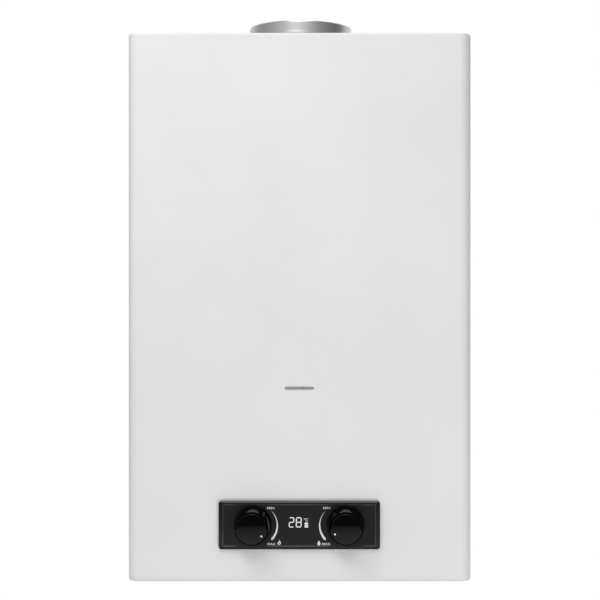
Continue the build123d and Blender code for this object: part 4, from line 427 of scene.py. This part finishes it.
def facing_panel(form):
    """Stands a flat drawing of x and z up on the fascia's face, as a thin layer."""
    sheet = bmesh.ops.extrude_face_region(form, geom=form.faces[:])
    top = [part for part in sheet["geom"] if isinstance(part, bmesh.types.BMVert)]
    bmesh.ops.translate(form, vec=(0.0, 0.0, print_height), verts=top)
    stand = Matrix.Translation((0.0, fascia_face, panel_z)) @ Matrix.Rotation(math.pi / 2, 4, "X")
    bmesh.ops.transform(form, matrix=stand, verts=form.verts)
    bmesh.ops.recalc_face_normals(form, faces=form.faces)


def scale_arc(side, centre):
    """Tapered arc beside a knob, thin at MIN and ending in a round at MAX."""
    form = bmesh.new()
    ends = []
    for reach in (-arc_thick, arc_thick):
        far = arc_radius + reach
        ends.append(form.verts.new((far * math.cos(arc_start), far * math.sin(arc_start), 0.0)))
    edge = form.edges.new(ends)
    bmesh.ops.spin(form, geom=[*ends, edge], cent=(0, 0, 0), axis=(0, 0, 1), dvec=(0, 0, 0),
                   angle=arc_sweep, steps=36, use_merge=False, use_duplicate=False)
    for vert in form.verts:
        share = (math.atan2(vert.co.y, vert.co.x) - arc_start) / arc_sweep
        half = arc_thin + (arc_thick - arc_thin) * share
        reach = (vert.co.length - arc_radius) * half / arc_thick
        vert.co = vert.co.normalized() * (arc_radius + reach)
    tip = arc_start + arc_sweep
    place = (arc_radius * math.cos(tip), arc_radius * math.sin(tip), -print_height / 3)
    bmesh.ops.create_circle(form, cap_ends=True, segments=24, radius=arc_thick,
                            matrix=Matrix.Translation(place))
    if side > 0:
        bmesh.ops.scale(form, vec=(-1.0, 1.0, 1.0), verts=form.verts)
    bmesh.ops.translate(form, vec=(centre, 0.0, 0.0), verts=form.verts)
    return form


def traced(curve):
    """The flat form that a text or a filled curve draws."""
    drawing = bpy.data.objects.new(curve.name, curve)
    scene.collection.objects.link(drawing)
    shape = drawing.evaluated_get(bpy.context.evaluated_depsgraph_get())
    mesh = bpy.data.meshes.new_from_object(shape)
    bpy.data.objects.remove(drawing)
    bpy.data.curves.remove(curve)
    form = bmesh.new()
    form.from_mesh(mesh)
    bpy.data.meshes.remove(mesh)
    return form


def word(text, centre, width, height, weight=0.010):
    """Printed letters, drawn to a width, a height and a weight."""
    curve = bpy.data.curves.new("letters", "FONT")
    curve.body = text
    curve.offset = weight
    form = traced(curve)
    xs = [vert.co.x for vert in form.verts]
    ys = [vert.co.y for vert in form.verts]
    middle = ((min(xs) + max(xs)) / 2, (min(ys) + max(ys)) / 2)
    size = (width / (max(xs) - min(xs)), height / (max(ys) - min(ys)), 1.0)
    bmesh.ops.translate(form, vec=(-middle[0], -middle[1], 0.0), verts=form.verts)
    bmesh.ops.scale(form, vec=size, verts=form.verts)
    bmesh.ops.translate(form, vec=(*centre, 0.0), verts=form.verts)
    return form


def sign(points, centre, size):
    """A filled sign drawn with smooth curves through its points."""
    curve = bpy.data.curves.new("sign", "CURVE")
    curve.dimensions = "2D"
    curve.fill_mode = "BOTH"
    for loop in points:
        spline = curve.splines.new("BEZIER")
        spline.bezier_points.add(len(loop) - 1)
        for knot, (x, y, kind) in zip(spline.bezier_points, loop):
            knot.co = (x, y, 0.0)
            knot.handle_left_type = knot.handle_right_type = kind
        spline.use_cyclic_u = True
    form = traced(curve)
    bmesh.ops.remove_doubles(form, verts=form.verts, dist=1e-5)
    bmesh.ops.scale(form, vec=(size, size, 1.0), verts=form.verts)
    bmesh.ops.translate(form, vec=(*centre, 0.0), verts=form.verts)
    return form


def lit_or_printed(name, colour, glow):
    """White print, or white segments lit from behind."""
    material, tree, shader, place = coat(name)
    grain = speckle(tree, place, scale=2500.0, detail=2.0)
    dark = tuple(0.94 * part for part in colour)
    blended(tree, grain, shader.inputs["Base Color"], dark, colour)
    between(tree, grain, shader.inputs["Roughness"], 0.45, 0.60)
    if glow:
        shader.inputs["Emission Color"].default_value = (1.0, 1.0, 1.0, 1.0)
        shader.inputs["Emission Strength"].default_value = glow
    return material


white_print = lit_or_printed("white_print", (0.80, 0.80, 0.80), 0.0)
flame = [
    [(0.0, 1.0, "VECTOR"), (0.62, 0.05, "AUTO"), (0.45, -0.75, "AUTO"), (0.0, -1.0, "AUTO"),
     (-0.45, -0.75, "AUTO"), (-0.62, -0.1, "AUTO"), (-0.35, 0.25, "VECTOR"), (-0.2, 0.1, "AUTO")],
    [(0.10, 0.0, "VECTOR"), (0.26, -0.45, "AUTO"), (0.05, -0.80, "AUTO"), (-0.20, -0.50, "AUTO")],
]
drop = [
    [(0.0, 1.0, "VECTOR"), (0.50, 0.0, "AUTO"), (0.62, -0.4, "AUTO"), (0.0, -1.0, "AUTO"),
     (-0.62, -0.4, "AUTO"), (-0.50, 0.0, "AUTO")],
]
marks = {
    "gas_scale": scale_arc(-1, -0.0423),
    "water_scale": scale_arc(1, 0.0407),
    "gas_word_min": word("MIN", (-0.02854, min_height), *min_size),
    "gas_word_max": word("MAX", (-0.02764, max_height), *max_size),
    "water_word_min": word("MIN", (0.02730, min_height), *min_size),
    "water_word_max": word("MAX", (0.02687, max_height), *max_size),
    "flame_sign": sign(flame, (-0.0201, -0.0171), sign_size),
    "drop_sign": sign(drop, (0.01954, -0.0175), sign_size),
}
for name, form in marks.items():
    facing_panel(form)
    mark = made(name, form, white_print, False)
    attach(mark, "chassis")
# Edge strip in a lighter grey than the smoked acrylic: painted highlight where the sloped edge
# catches the light.
painted_edge_highlight = moulded("painted_edge_highlight", (0.068, 0.068, 0.069), (0.080, 0.080, 0.081),
                        0.25, 0.32, grain=900.0, relief=0.01)
form = bmesh.new()
bmesh.ops.create_grid(form, x_segments=1, y_segments=1, size=0.5)
bmesh.ops.scale(form, vec=(edge_wide, edge_tall, 1.0), verts=form.verts)
rounded(form, form.verts[:], edge_corner, segments=4, affect="VERTICES")
plate = form.faces[:]
bmesh.ops.inset_region(form, faces=plate, thickness=edge_line_width, use_boundary=True)
outer = {vert for edge in form.edges if edge.is_boundary for vert in edge.verts}
bmesh.ops.delete(form, geom=plate, context="FACES")
bmesh.ops.translate(form, vec=(0.0, 0.0, edge_rise), verts=list(outer))
facing_panel(form)
edge_line = made("fascia_edge", form, painted_edge_highlight, False)
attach(edge_line, "chassis")


# Display: a moulded block on a circuit board behind the fascia, held by the bezel. Its white
# seven-segment figures and signs are lit from behind.
figure_low, figure_high = -0.00217, 0.0081
figure_stroke, figure_gap, figure_lean = 0.00105, 0.00010, 0.02
charge_left, charge_right = 0.0053, 0.0088
charge_bars = [(-0.0023, -0.0011), (-0.0008, 0.0007)]
cap_low, cap_shoulder, cap_high = 0.0011, 0.0021, 0.0030
cap_left, cap_right = 0.0067, 0.0074
display_glow = lit_or_printed("display_glow", (0.72, 0.72, 0.72), 0.20)


def segment(form, points):
    """One lit bar of the display."""
    form.faces.new([form.verts.new((x, y, 0.0)) for x, y in points])


def figure(left, right, bars):
    """A seven-segment figure from the letters of its lit bars."""
    form = bmesh.new()
    middle = (figure_low + figure_high) / 2
    half = figure_stroke / 2
    for letter in bars:
        if letter in "agd":
            y = {"a": figure_high - half, "g": middle, "d": figure_low + half}[letter]
            x0, x1 = left + half + figure_gap, right - half - figure_gap
            segment(form, [(x0, y), (x0 + half, y - half), (x1 - half, y - half),
                           (x1, y), (x1 - half, y + half), (x0 + half, y + half)])
        else:
            x = right - half if letter in "bc" else left + half
            y0 = middle if letter in "bf" else figure_low + half
            y1 = figure_high - half if letter in "bf" else middle
            y0, y1 = y0 + figure_gap, y1 - figure_gap
            segment(form, [(x, y0), (x + half, y0 + half), (x + half, y1 - half),
                           (x, y1), (x - half, y1 - half), (x - half, y0 + half)])
    for vert in form.verts:
        vert.co.x += (vert.co.y - middle) * figure_lean
    return form


lights = {
    "display_tens": figure(-0.01050, -0.00495, "abged"),
    "display_units": figure(-0.00348, 0.00234, "abcdefg"),
    "display_degrees": word("°C", (0.00665, 0.0055), 0.0041, 0.0031, weight=0.008),
}
charge = bmesh.new()
for low, high in charge_bars:
    segment(charge, [(charge_left, low), (charge_right, low), (charge_right, high),
                     (charge_left, high)])
segment(charge, [(charge_left, cap_low), (charge_right, cap_low), (charge_right, cap_shoulder),
                 (cap_right, cap_high), (cap_left, cap_high), (charge_left, cap_shoulder)])
lights["display_charge"] = charge
for name, form in lights.items():
    facing_panel(form)
    light = made(name, form, display_glow, False)
    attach(light, "chassis")


# Knobs: tapered hollow caps moulded in gloss black, pushed on the spindles, each with a sunk dot
# filled with white paint near the edge of its face. Their flank and the bevelled ring before the
# face take copies of the black with weaker reflection and a slightly darker tone: painted shade.
knob_x, knob_seat = 0.04625, -0.1617
knob_outline = [
    (0.0150, 0.0240), (0.0174, 0.0), (0.0192, 0.0), (0.0194, 0.0002), (0.01938, 0.0006),
    (0.01672, 0.0236), (0.01665, 0.02395), (0.01648, 0.02430), (0.01484, 0.02670),
    (0.01466, 0.02686), (0.01440, 0.02693), (0.01410, 0.02694),
]
flank_limit, edge_limit = 0.15, 0.7
dot_radius, dot_rim, dot_crown = 0.0009, 0.0002, 0.00005
dot_reach, dot_height = 0.0118, 0.02695
knob_black = moulded("knob_black", (0.0010, 0.0010, 0.0011), (0.0014, 0.0014, 0.0015),
                     0.02, 0.03, grain=900.0, relief=0.003, ior=1.33)
# Copies of the same black for the flank and the ring, reflecting less and a shade darker: painted
# shade.
knob_flank_shade = moulded("knob_flank_shade", (0.0008, 0.0008, 0.0009), (0.0012, 0.0012, 0.0013),
                    0.05, 0.07, grain=900.0, relief=0.003, ior=1.10)
knob_ring_shade = moulded("knob_ring_shade", (0.0008, 0.0008, 0.0009), (0.0012, 0.0012, 0.0013),
                    0.04, 0.06, grain=900.0, relief=0.003, ior=1.05)
knobs = [(-1, "gas_control", "gas_knob", -35.0), (1, "water_control", "water_knob", 204.0)]
for side, body, node, angle in knobs:
    form = turned_form(knob_outline, closed=False, segments=128)
    rims = [edge for edge in form.edges if edge.is_boundary]
    bmesh.ops.holes_fill(form, edges=rims, sides=0)
    bmesh.ops.recalc_face_normals(form, faces=form.faces)
    place = Matrix.Translation((side * knob_x, knob_seat, panel_z))
    stand = place @ Matrix.Rotation(math.pi / 2, 4, "X")
    bmesh.ops.transform(form, matrix=stand, verts=form.verts)
    # Faces that point sideways get the painted-shade copies: the flank first, then the bevelled
    # ring.
    for face in form.faces:
        facing = abs(face.normal.y)
        face.material_index = 1 if facing < flank_limit else 2 if facing < edge_limit else 0
    knob = made(node.replace("_knob", "_control_knob"), form, knob_black)
    knob.data.materials.append(knob_flank_shade)
    knob.data.materials.append(knob_ring_shade)
    eased(knob, 0.0001, limit=25.0)
    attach(knob, body)
    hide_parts(node)
    dot = bmesh.new()
    bmesh.ops.create_circle(dot, cap_ends=True, segments=32, radius=dot_radius)
    bmesh.ops.inset_region(dot, faces=dot.faces[:], thickness=dot_rim, depth=dot_crown)
    turn = math.radians(angle)
    centre = (dot_reach * math.cos(turn), dot_reach * math.sin(turn), dot_height)
    bmesh.ops.translate(dot, vec=centre, verts=dot.verts)
    bmesh.ops.transform(dot, matrix=stand, verts=dot.verts)
    paint = made(node + "_dot", dot, white_print)
    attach(paint, body)


# Back plate: galvanised sheet with two wall tabs, stiffening ribs and flanges, screwed to the wall
# through four holes. The hood, burner box and brackets are of the same sheet.
def galvanised(name):
    """Hot-dip zinc: angular crystals, each with a tone and a shine of its own."""
    material, tree, shader, place = coat(name)
    crystals = tree.nodes.new("ShaderNodeTexVoronoi")
    crystals.inputs["Scale"].default_value = 95.0
    tree.links.new(place, crystals.inputs["Vector"])
    tone = crystals.outputs["Color"]
    blended(tree, tone, shader.inputs["Base Color"], (0.55, 0.56, 0.58), (0.68, 0.69, 0.71))
    between(tree, tone, shader.inputs["Roughness"], 0.50, 0.34)
    ripple = speckle(tree, place, scale=260.0, detail=4.0, stretch=(1.0, 1.0, 3.0))
    raised(tree, ripple, shader, strength=0.05)
    shader.inputs["Metallic"].default_value = 1.0
    return material


def coated(material, *nodes):
    """Gives solids that keep their own shape their finish."""
    for node in nodes:
        mesh = frame["nodes"][node].data
        mesh.materials.clear()
        mesh.materials.append(material)


galvanised_steel = galvanised("galvanised_steel")
back_plate = dressed("back_plate", "wall_plate", galvanised_steel, 0.0003)
coated(galvanised_steel, "flue_hood", "burner_box", "burner_stays", "valve_bracket",
       "electrode_plates")


# Bottom plate: enamelled sheet with two banks of air louvres, pierced for the pipes, the drain
# and the battery box, held by the two lower cover screws. Screws and contacts are zinc plated.
bottom_plate = dressed("bottom_plate", "louvred_floor", white_enamel, 0.00025)
zinc_steel = drawn_steel("zinc_steel", (0.56, 0.57, 0.58), (0.70, 0.70, 0.69), 0.28, 0.40,
                         stretch=(1.0, 1.0, 1.0), scale=200.0)
coated(zinc_steel, "sheet_metal_screws", "diaphragm_screws", "battery_contacts", "battery_strap")


# Pipe connectors: turned from brass bar, with a half-inch parallel thread below the casing, a
# collar through the floor and a hexagon above it. Valve bodies, nuts and spindles are brass too.
thread_radius, thread_root, thread_pitch = 0.01048, 0.00932, 0.001814
thread_low, thread_high, thread_lead_in = -0.2855, -0.2755, 0.0006
thread_start = thread_root + 0.0002
crest_radius = thread_radius - 0.0001
crest_low, crest_high = thread_pitch * 0.42, thread_pitch * 0.58
bore_radius, bore_top = 0.0075, -0.2525
collar_radius, collar_low, collar_high = 0.0120, -0.2703, -0.2607
collar_chamfer = 0.0003
neck, neck_low, neck_top = 0.0085, -0.2605, -0.2445
hexagon_radius, hexagon_tall, hexagon_middle = 0.01386, 0.010, -0.2655


def worked_metal(name, dark, light, low, high, scale, stretch=(1.0, 1.0, 1.0), relief=0.04):
    """Brass, copper or aluminium with the tone and lines of its making."""
    material, tree, shader, place = coat(name)
    blended(tree, speckle(tree, place, scale), shader.inputs["Base Color"], dark, light)
    lines = speckle(tree, place, scale * 6.0, 3.0, stretch)
    between(tree, lines, shader.inputs["Roughness"], low, high)
    raised(tree, lines, shader, relief)
    shader.inputs["Metallic"].default_value = 1.0
    return material


brass = worked_metal("brass", (0.62, 0.44, 0.19), (0.74, 0.55, 0.27), 0.20, 0.34, 60.0,
                     stretch=(1.0, 1.0, 8.0))
outline = [(bore_radius, bore_top), (bore_radius, thread_low), (thread_start, thread_low)]
height = thread_low + thread_lead_in
while height + thread_pitch < thread_high:
    outline += [(thread_root, height), (crest_radius, height + crest_low),
                (crest_radius, height + crest_high)]
    height += thread_pitch
outline += [(thread_root, height), (thread_root, thread_high),
            (collar_radius - collar_chamfer, thread_high),
            (collar_radius, thread_high + collar_chamfer), (collar_radius, collar_low),
            (collar_radius, collar_high), (neck, neck_low), (neck, neck_top), (0.0, neck_top),
            (0.0, bore_top)]
for node in ("hot_water_outlet", "gas_inlet", "cold_water_inlet"):
    low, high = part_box(node)
    middle = (low + high) / 2
    form = turned_form(outline, closed=False, segments=64)
    bmesh.ops.create_cone(form, cap_ends=True, segments=6, radius1=hexagon_radius,
                          radius2=hexagon_radius, depth=hexagon_tall,
                          matrix=Matrix.Translation((0.0, 0.0, hexagon_middle)))
    bmesh.ops.translate(form, vec=(middle.x, middle.y, 0.0), verts=form.verts)
    connector = made(node + "_union", form, brass)
    eased(connector, 0.0002, limit=50.0)
    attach(connector, "chassis")
    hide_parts(node)
coated(brass, "pipe_nuts", "gas_injectors", "water_valve_body", "diaphragm_cover",
       "spindle_glands", "gas_spindle", "water_spindle")
drain = dressed("drain_plug", "drain_key", brass, 0.0002)


# Battery box: moulded in black, with a hinged lid under the casing that swings down to change
# the two cells. The control box, switch and other housings are of the same plastic.
black_plastic = moulded("black_plastic", (0.020, 0.020, 0.021), (0.028, 0.028, 0.029),
                        0.42, 0.52, grain=1500.0, relief=0.12)
battery_lid = dressed("battery_lid", "battery_door", black_plastic, 0.0003)
coated(black_plastic, "battery_box", "gas_solenoid", "inlet_filter", "micro_switch",
       "control_box", "control_box_lid", "thermostats")
cell_jacket = powder_coat("cell_jacket", (0.20, 0.22, 0.25), (0.26, 0.28, 0.31), 0.35)
coated(cell_jacket, "battery_cells")


# Heat exchanger and water pipes: copper sheet, fins and drawn tube, brazed together in a furnace
# and then darkened by heat.
copper = worked_metal("copper", (0.50, 0.22, 0.12), (0.72, 0.38, 0.25), 0.22, 0.40, 25.0)
coated(copper, "heat_exchanger_shell", "heat_exchanger_fins", "heat_exchanger_tubes",
       "heat_exchanger_coil", "cold_water_pipe", "hot_water_pipe")


# Burner, gas valve and manifold: folded stainless bars in a galvanised box, fed by die-cast
# aluminium. Rods, clips, lever and electrodes are stainless as well.
cast_aluminium = worked_metal("cast_aluminium", (0.52, 0.52, 0.53), (0.64, 0.64, 0.65),
                              0.42, 0.56, 80.0, relief=0.2)
coated(cast_aluminium, "gas_manifold", "gas_riser", "gas_valve_body")
stainless_steel = drawn_steel("stainless_steel", (0.55, 0.54, 0.52), (0.68, 0.67, 0.65),
                              0.22, 0.36, stretch=(1.0, 1.0, 12.0))
coated(stainless_steel, "burner_bars", "flow_rod", "switch_lever", "gas_knob_clip",
       "water_knob_clip", "spark_electrode", "flame_sensor", "thermostat_clamp")


# Small inner pieces: pressed rubber seals, glazed ceramic round the electrodes, the display's
# circuit board, and leads in silicone that end in the control box.
black_rubber = moulded("black_rubber", (0.016, 0.016, 0.016), (0.024, 0.024, 0.024),
                       0.62, 0.74, grain=1200.0, relief=0.2)
coated(black_rubber, "diaphragm", "drain_seal")
white_ceramic = moulded("white_ceramic", (0.78, 0.77, 0.74), (0.84, 0.83, 0.80),
                        0.16, 0.24, grain=400.0, relief=0.03)
coated(white_ceramic, "electrode_insulators")
circuit_board = moulded("circuit_board", (0.020, 0.110, 0.050), (0.035, 0.150, 0.070),
                        0.35, 0.45, grain=800.0, relief=0.1)
coated(circuit_board, "display_module")
lead_silicone = moulded("lead_silicone", (0.62, 0.60, 0.56), (0.70, 0.68, 0.64),
                        0.45, 0.55, grain=900.0, relief=0.08)
coated(lead_silicone, "internal_leads")


# Studio floor: a pale round floor well below the heater, which fades to plain white further out.
# Reflections see that white brighter, and dimmer at the rim. From below it can be seen through.
floor_height, floor_radius = -0.62, 2.936
fade_near, fade_far = 0.80, 1.35
mirror_near, mirror_far = 2.55, 2.95
near_mirrored, far_mirrored = 1.70, 0.60
floor_bounce = 0.32


def spread(tree, value, low, high, to_low, to_high, kind="SMOOTHSTEP"):
    """Runs a value over a new span; the span's ends may be numbers or other values."""
    step = tree.nodes.new("ShaderNodeMapRange")
    step.interpolation_type = kind
    tree.links.new(value, step.inputs["Value"])
    ends = (("From Min", low), ("From Max", high), ("To Min", to_low), ("To Max", to_high))
    for name, end in ends:
        if isinstance(end, float):
            step.inputs[name].default_value = end
        else:
            tree.links.new(end, step.inputs[name])
    return step.outputs["Result"]


def mixed(tree, amount, first, second):
    """One shader or another, by an amount."""
    mix = tree.nodes.new("ShaderNodeMixShader")
    for end, value in zip(mix.inputs, (amount, first, second)):
        tree.links.new(value, end)
    return mix.outputs["Shader"]


floor_form = bmesh.new()
bmesh.ops.create_circle(floor_form, cap_ends=True, segments=96, radius=floor_radius)
bmesh.ops.translate(floor_form, vec=(0.0, 0.0, floor_height), verts=floor_form.verts)
pale_floor, tree, shader, place = coat("pale_floor")
grain = speckle(tree, place, scale=12.0)
blended(tree, grain, shader.inputs["Base Color"], (0.80, 0.80, 0.80), (0.82, 0.82, 0.82))
shader.inputs["Roughness"].default_value = 0.9
reach = tree.nodes.new("ShaderNodeVectorMath")
reach.operation = "LENGTH"
tree.links.new(place, reach.inputs[0])
distance = reach.outputs["Value"]
rays = tree.nodes.new("ShaderNodeLightPath").outputs
fade = spread(tree, distance, fade_near, fade_far, 0.0, 1.0, "LINEAR")
bounce = spread(tree, rays["Is Diffuse Ray"], 0.0, 1.0, 1.0, floor_bounce, "LINEAR")
far = spread(tree, distance, mirror_near, mirror_far, near_mirrored, far_mirrored, "LINEAR")
mirrored = spread(tree, rays["Is Glossy Ray"], 0.0, 1.0, bounce, far, "LINEAR")
white = tree.nodes.new("ShaderNodeEmission")
tree.links.new(mirrored, white.inputs["Strength"])
above = mixed(tree, fade, shader.outputs["BSDF"], white.outputs["Emission"])
beneath = tree.nodes.new("ShaderNodeBsdfTransparent").outputs["BSDF"]
turned_away = tree.nodes.new("ShaderNodeNewGeometry").outputs["Backfacing"]
surface = tree.nodes["Material Output"].inputs["Surface"]
tree.links.new(mixed(tree, turned_away, above, beneath), surface)
floor = made("studio_floor", floor_form, pale_floor, False)


# Studio surround: plain white to the camera. Reflections see walls whose light changes with the
# bearing, dark low down in front, with a soft box high in front and a bright ceiling.
wall_levels = [(-180, 0.75), (-135, 0.70), (-108, 0.36), (-85, 0.36), (-60, 0.50), (-38, 0.66),
               (-18, 0.96), (-2, 0.96), (20, 0.58), (42, 0.36), (64, 0.25), (88, 0.17),
               (104, 0.22), (125, 0.75), (180, 1.0)]
front_ends, front_level = (0.8, 1.6), 0.08
horizon = (-0.02, 0.10)
soft_box_level, soft_box_bearing = 0.50, -0.16
soft_box_sides, soft_box_foot = (0.10, 0.55), (0.26, 0.44)
ceiling_level, ceiling_rim = 4.6, (0.955, 0.975)
ambient_front, ambient_behind = 0.10, 0.34
ambient_turn = (-0.3, 0.4)
world = bpy.data.worlds.new("studio")
world.use_nodes = True
scene.world = world
sky = world.node_tree


def worked_out(kind, first, second=None):
    """One step of arithmetic on the surround's values."""
    step = sky.nodes.new("ShaderNodeMath")
    step.operation = kind
    for end, value in zip(step.inputs, (first, second)):
        if isinstance(value, float):
            end.default_value = value
        elif value:
            sky.links.new(value, end)
    return step.outputs["Value"]


heading = sky.nodes.new("ShaderNodeSeparateXYZ")
direction = sky.nodes.new("ShaderNodeTexCoord").outputs["Generated"]
sky.links.new(direction, heading.inputs["Vector"])
across, away, up = heading.outputs
bearing = worked_out("ARCTAN2", across, worked_out("MULTIPLY", away, -1.0))
walls = sky.nodes.new("ShaderNodeValToRGB")
walls.color_ramp.interpolation = "B_SPLINE"
ramp = walls.color_ramp.elements
while len(ramp) < len(wall_levels):
    ramp.new(0.5)
for stop, (angle, shade) in zip(ramp, wall_levels):
    stop.position = (angle + 180) / 360
    stop.color = (shade / 2, shade / 2, shade / 2, 1.0)
turn = spread(sky, bearing, -math.pi, math.pi, 0.0, 1.0, "LINEAR")
sky.links.new(turn, walls.inputs["Fac"])
wall_light = worked_out("MULTIPLY", walls.outputs["Color"], 2.0)
low_front = spread(sky, worked_out("ABSOLUTE", bearing), *front_ends, front_level, 1.0)
shaded = worked_out("MULTIPLY", wall_light, spread(sky, up, *horizon, low_front, 1.0))
aside = worked_out("ABSOLUTE", worked_out("ADD", bearing, -soft_box_bearing))
soft_box = worked_out("MULTIPLY", spread(sky, aside, *soft_box_sides, 1.0, 0.0), shaded)
box_height = spread(sky, up, *soft_box_foot, 0.0, soft_box_level)
bright = worked_out("ADD", shaded, worked_out("MULTIPLY", soft_box, box_height))
reflected = spread(sky, up, *ceiling_rim, bright, ceiling_level)
rays = sky.nodes.new("ShaderNodeLightPath").outputs
seen = worked_out("MAXIMUM", rays["Is Camera Ray"], rays["Is Transmission Ray"])
ambient = spread(sky, away, *ambient_turn, ambient_front, ambient_behind)
plain = spread(sky, seen, 0.0, 1.0, ambient, 1.0, "LINEAR")
level = spread(sky, rays["Is Glossy Ray"], 0.0, 1.0, plain, reflected, "LINEAR")
sky.links.new(level, sky.nodes["Background"].inputs["Strength"])
sky.nodes["Background"].inputs["Color"].default_value = (1.0, 1.0, 1.0, 1.0)


# Lamps: soft boxes in front, above and at both sides, which neither the camera nor reflections
# see. The strongest hangs in front and high, and a low one lightens what lies under the panel.
def lamp(name, centre, aim, width, height, power):
    """A soft box at a place, turned to what it lights."""
    light = bpy.data.lights.new(name, "AREA")
    light.shape = "RECTANGLE"
    light.size = width
    light.size_y = height
    light.energy = power
    holder = bpy.data.objects.new(name, light)
    holder.location = centre
    ahead = Vector(aim) - Vector(centre)
    holder.rotation_euler = ahead.to_track_quat("-Z", "Y").to_euler()
    holder.visible_camera = False
    holder.visible_glossy = False
    scene.collection.objects.link(holder)


lamp("key_box", (-0.05, -1.90, 0.85), (0.0, -0.155, 0.0), 0.6, 0.5, 8.6)
lamp("front_box", (0.0, -2.80, 0.10), (0.0, -0.1, 0.0), 0.8, 0.6, 3.75)
lamp("near_left_box", (-0.30, -0.88, 0.66), (-0.07, -0.15, 0.25), 0.4, 0.4, 2.6)
lamp("left_side_box", (-2.0, -0.70, 0.25), (-0.17, -0.13, 0.0), 0.6, 1.0, 6.4)
lamp("right_side_box", (1.8, -0.70, -0.35), (0.17, -0.13, -0.2), 0.5, 0.4, 2.2)
lamp("low_front_box", (0.35, -1.30, -0.52), (0.08, -0.15, -0.25), 0.5, 0.16, 4.4)
lamp("top_box", (-0.10, -0.22, 1.20), (-0.05, -0.12, 0.27), 0.7, 0.3, 3.9)


# Camera: level with the casing's middle and a little to its right, as in the photograph, with its
# back parallel to the casing's front.
lens = bpy.data.cameras.new("camera")
lens.sensor_width = 36.0
lens.lens = 92.4
lens.shift_x = -0.049
camera = bpy.data.objects.new("camera", lens)
camera.location = (0.030, -1.695, 0.007)
camera.rotation_euler = (math.pi / 2, 0.0, 0.0)
scene.collection.objects.link(camera)
scene.camera = camera
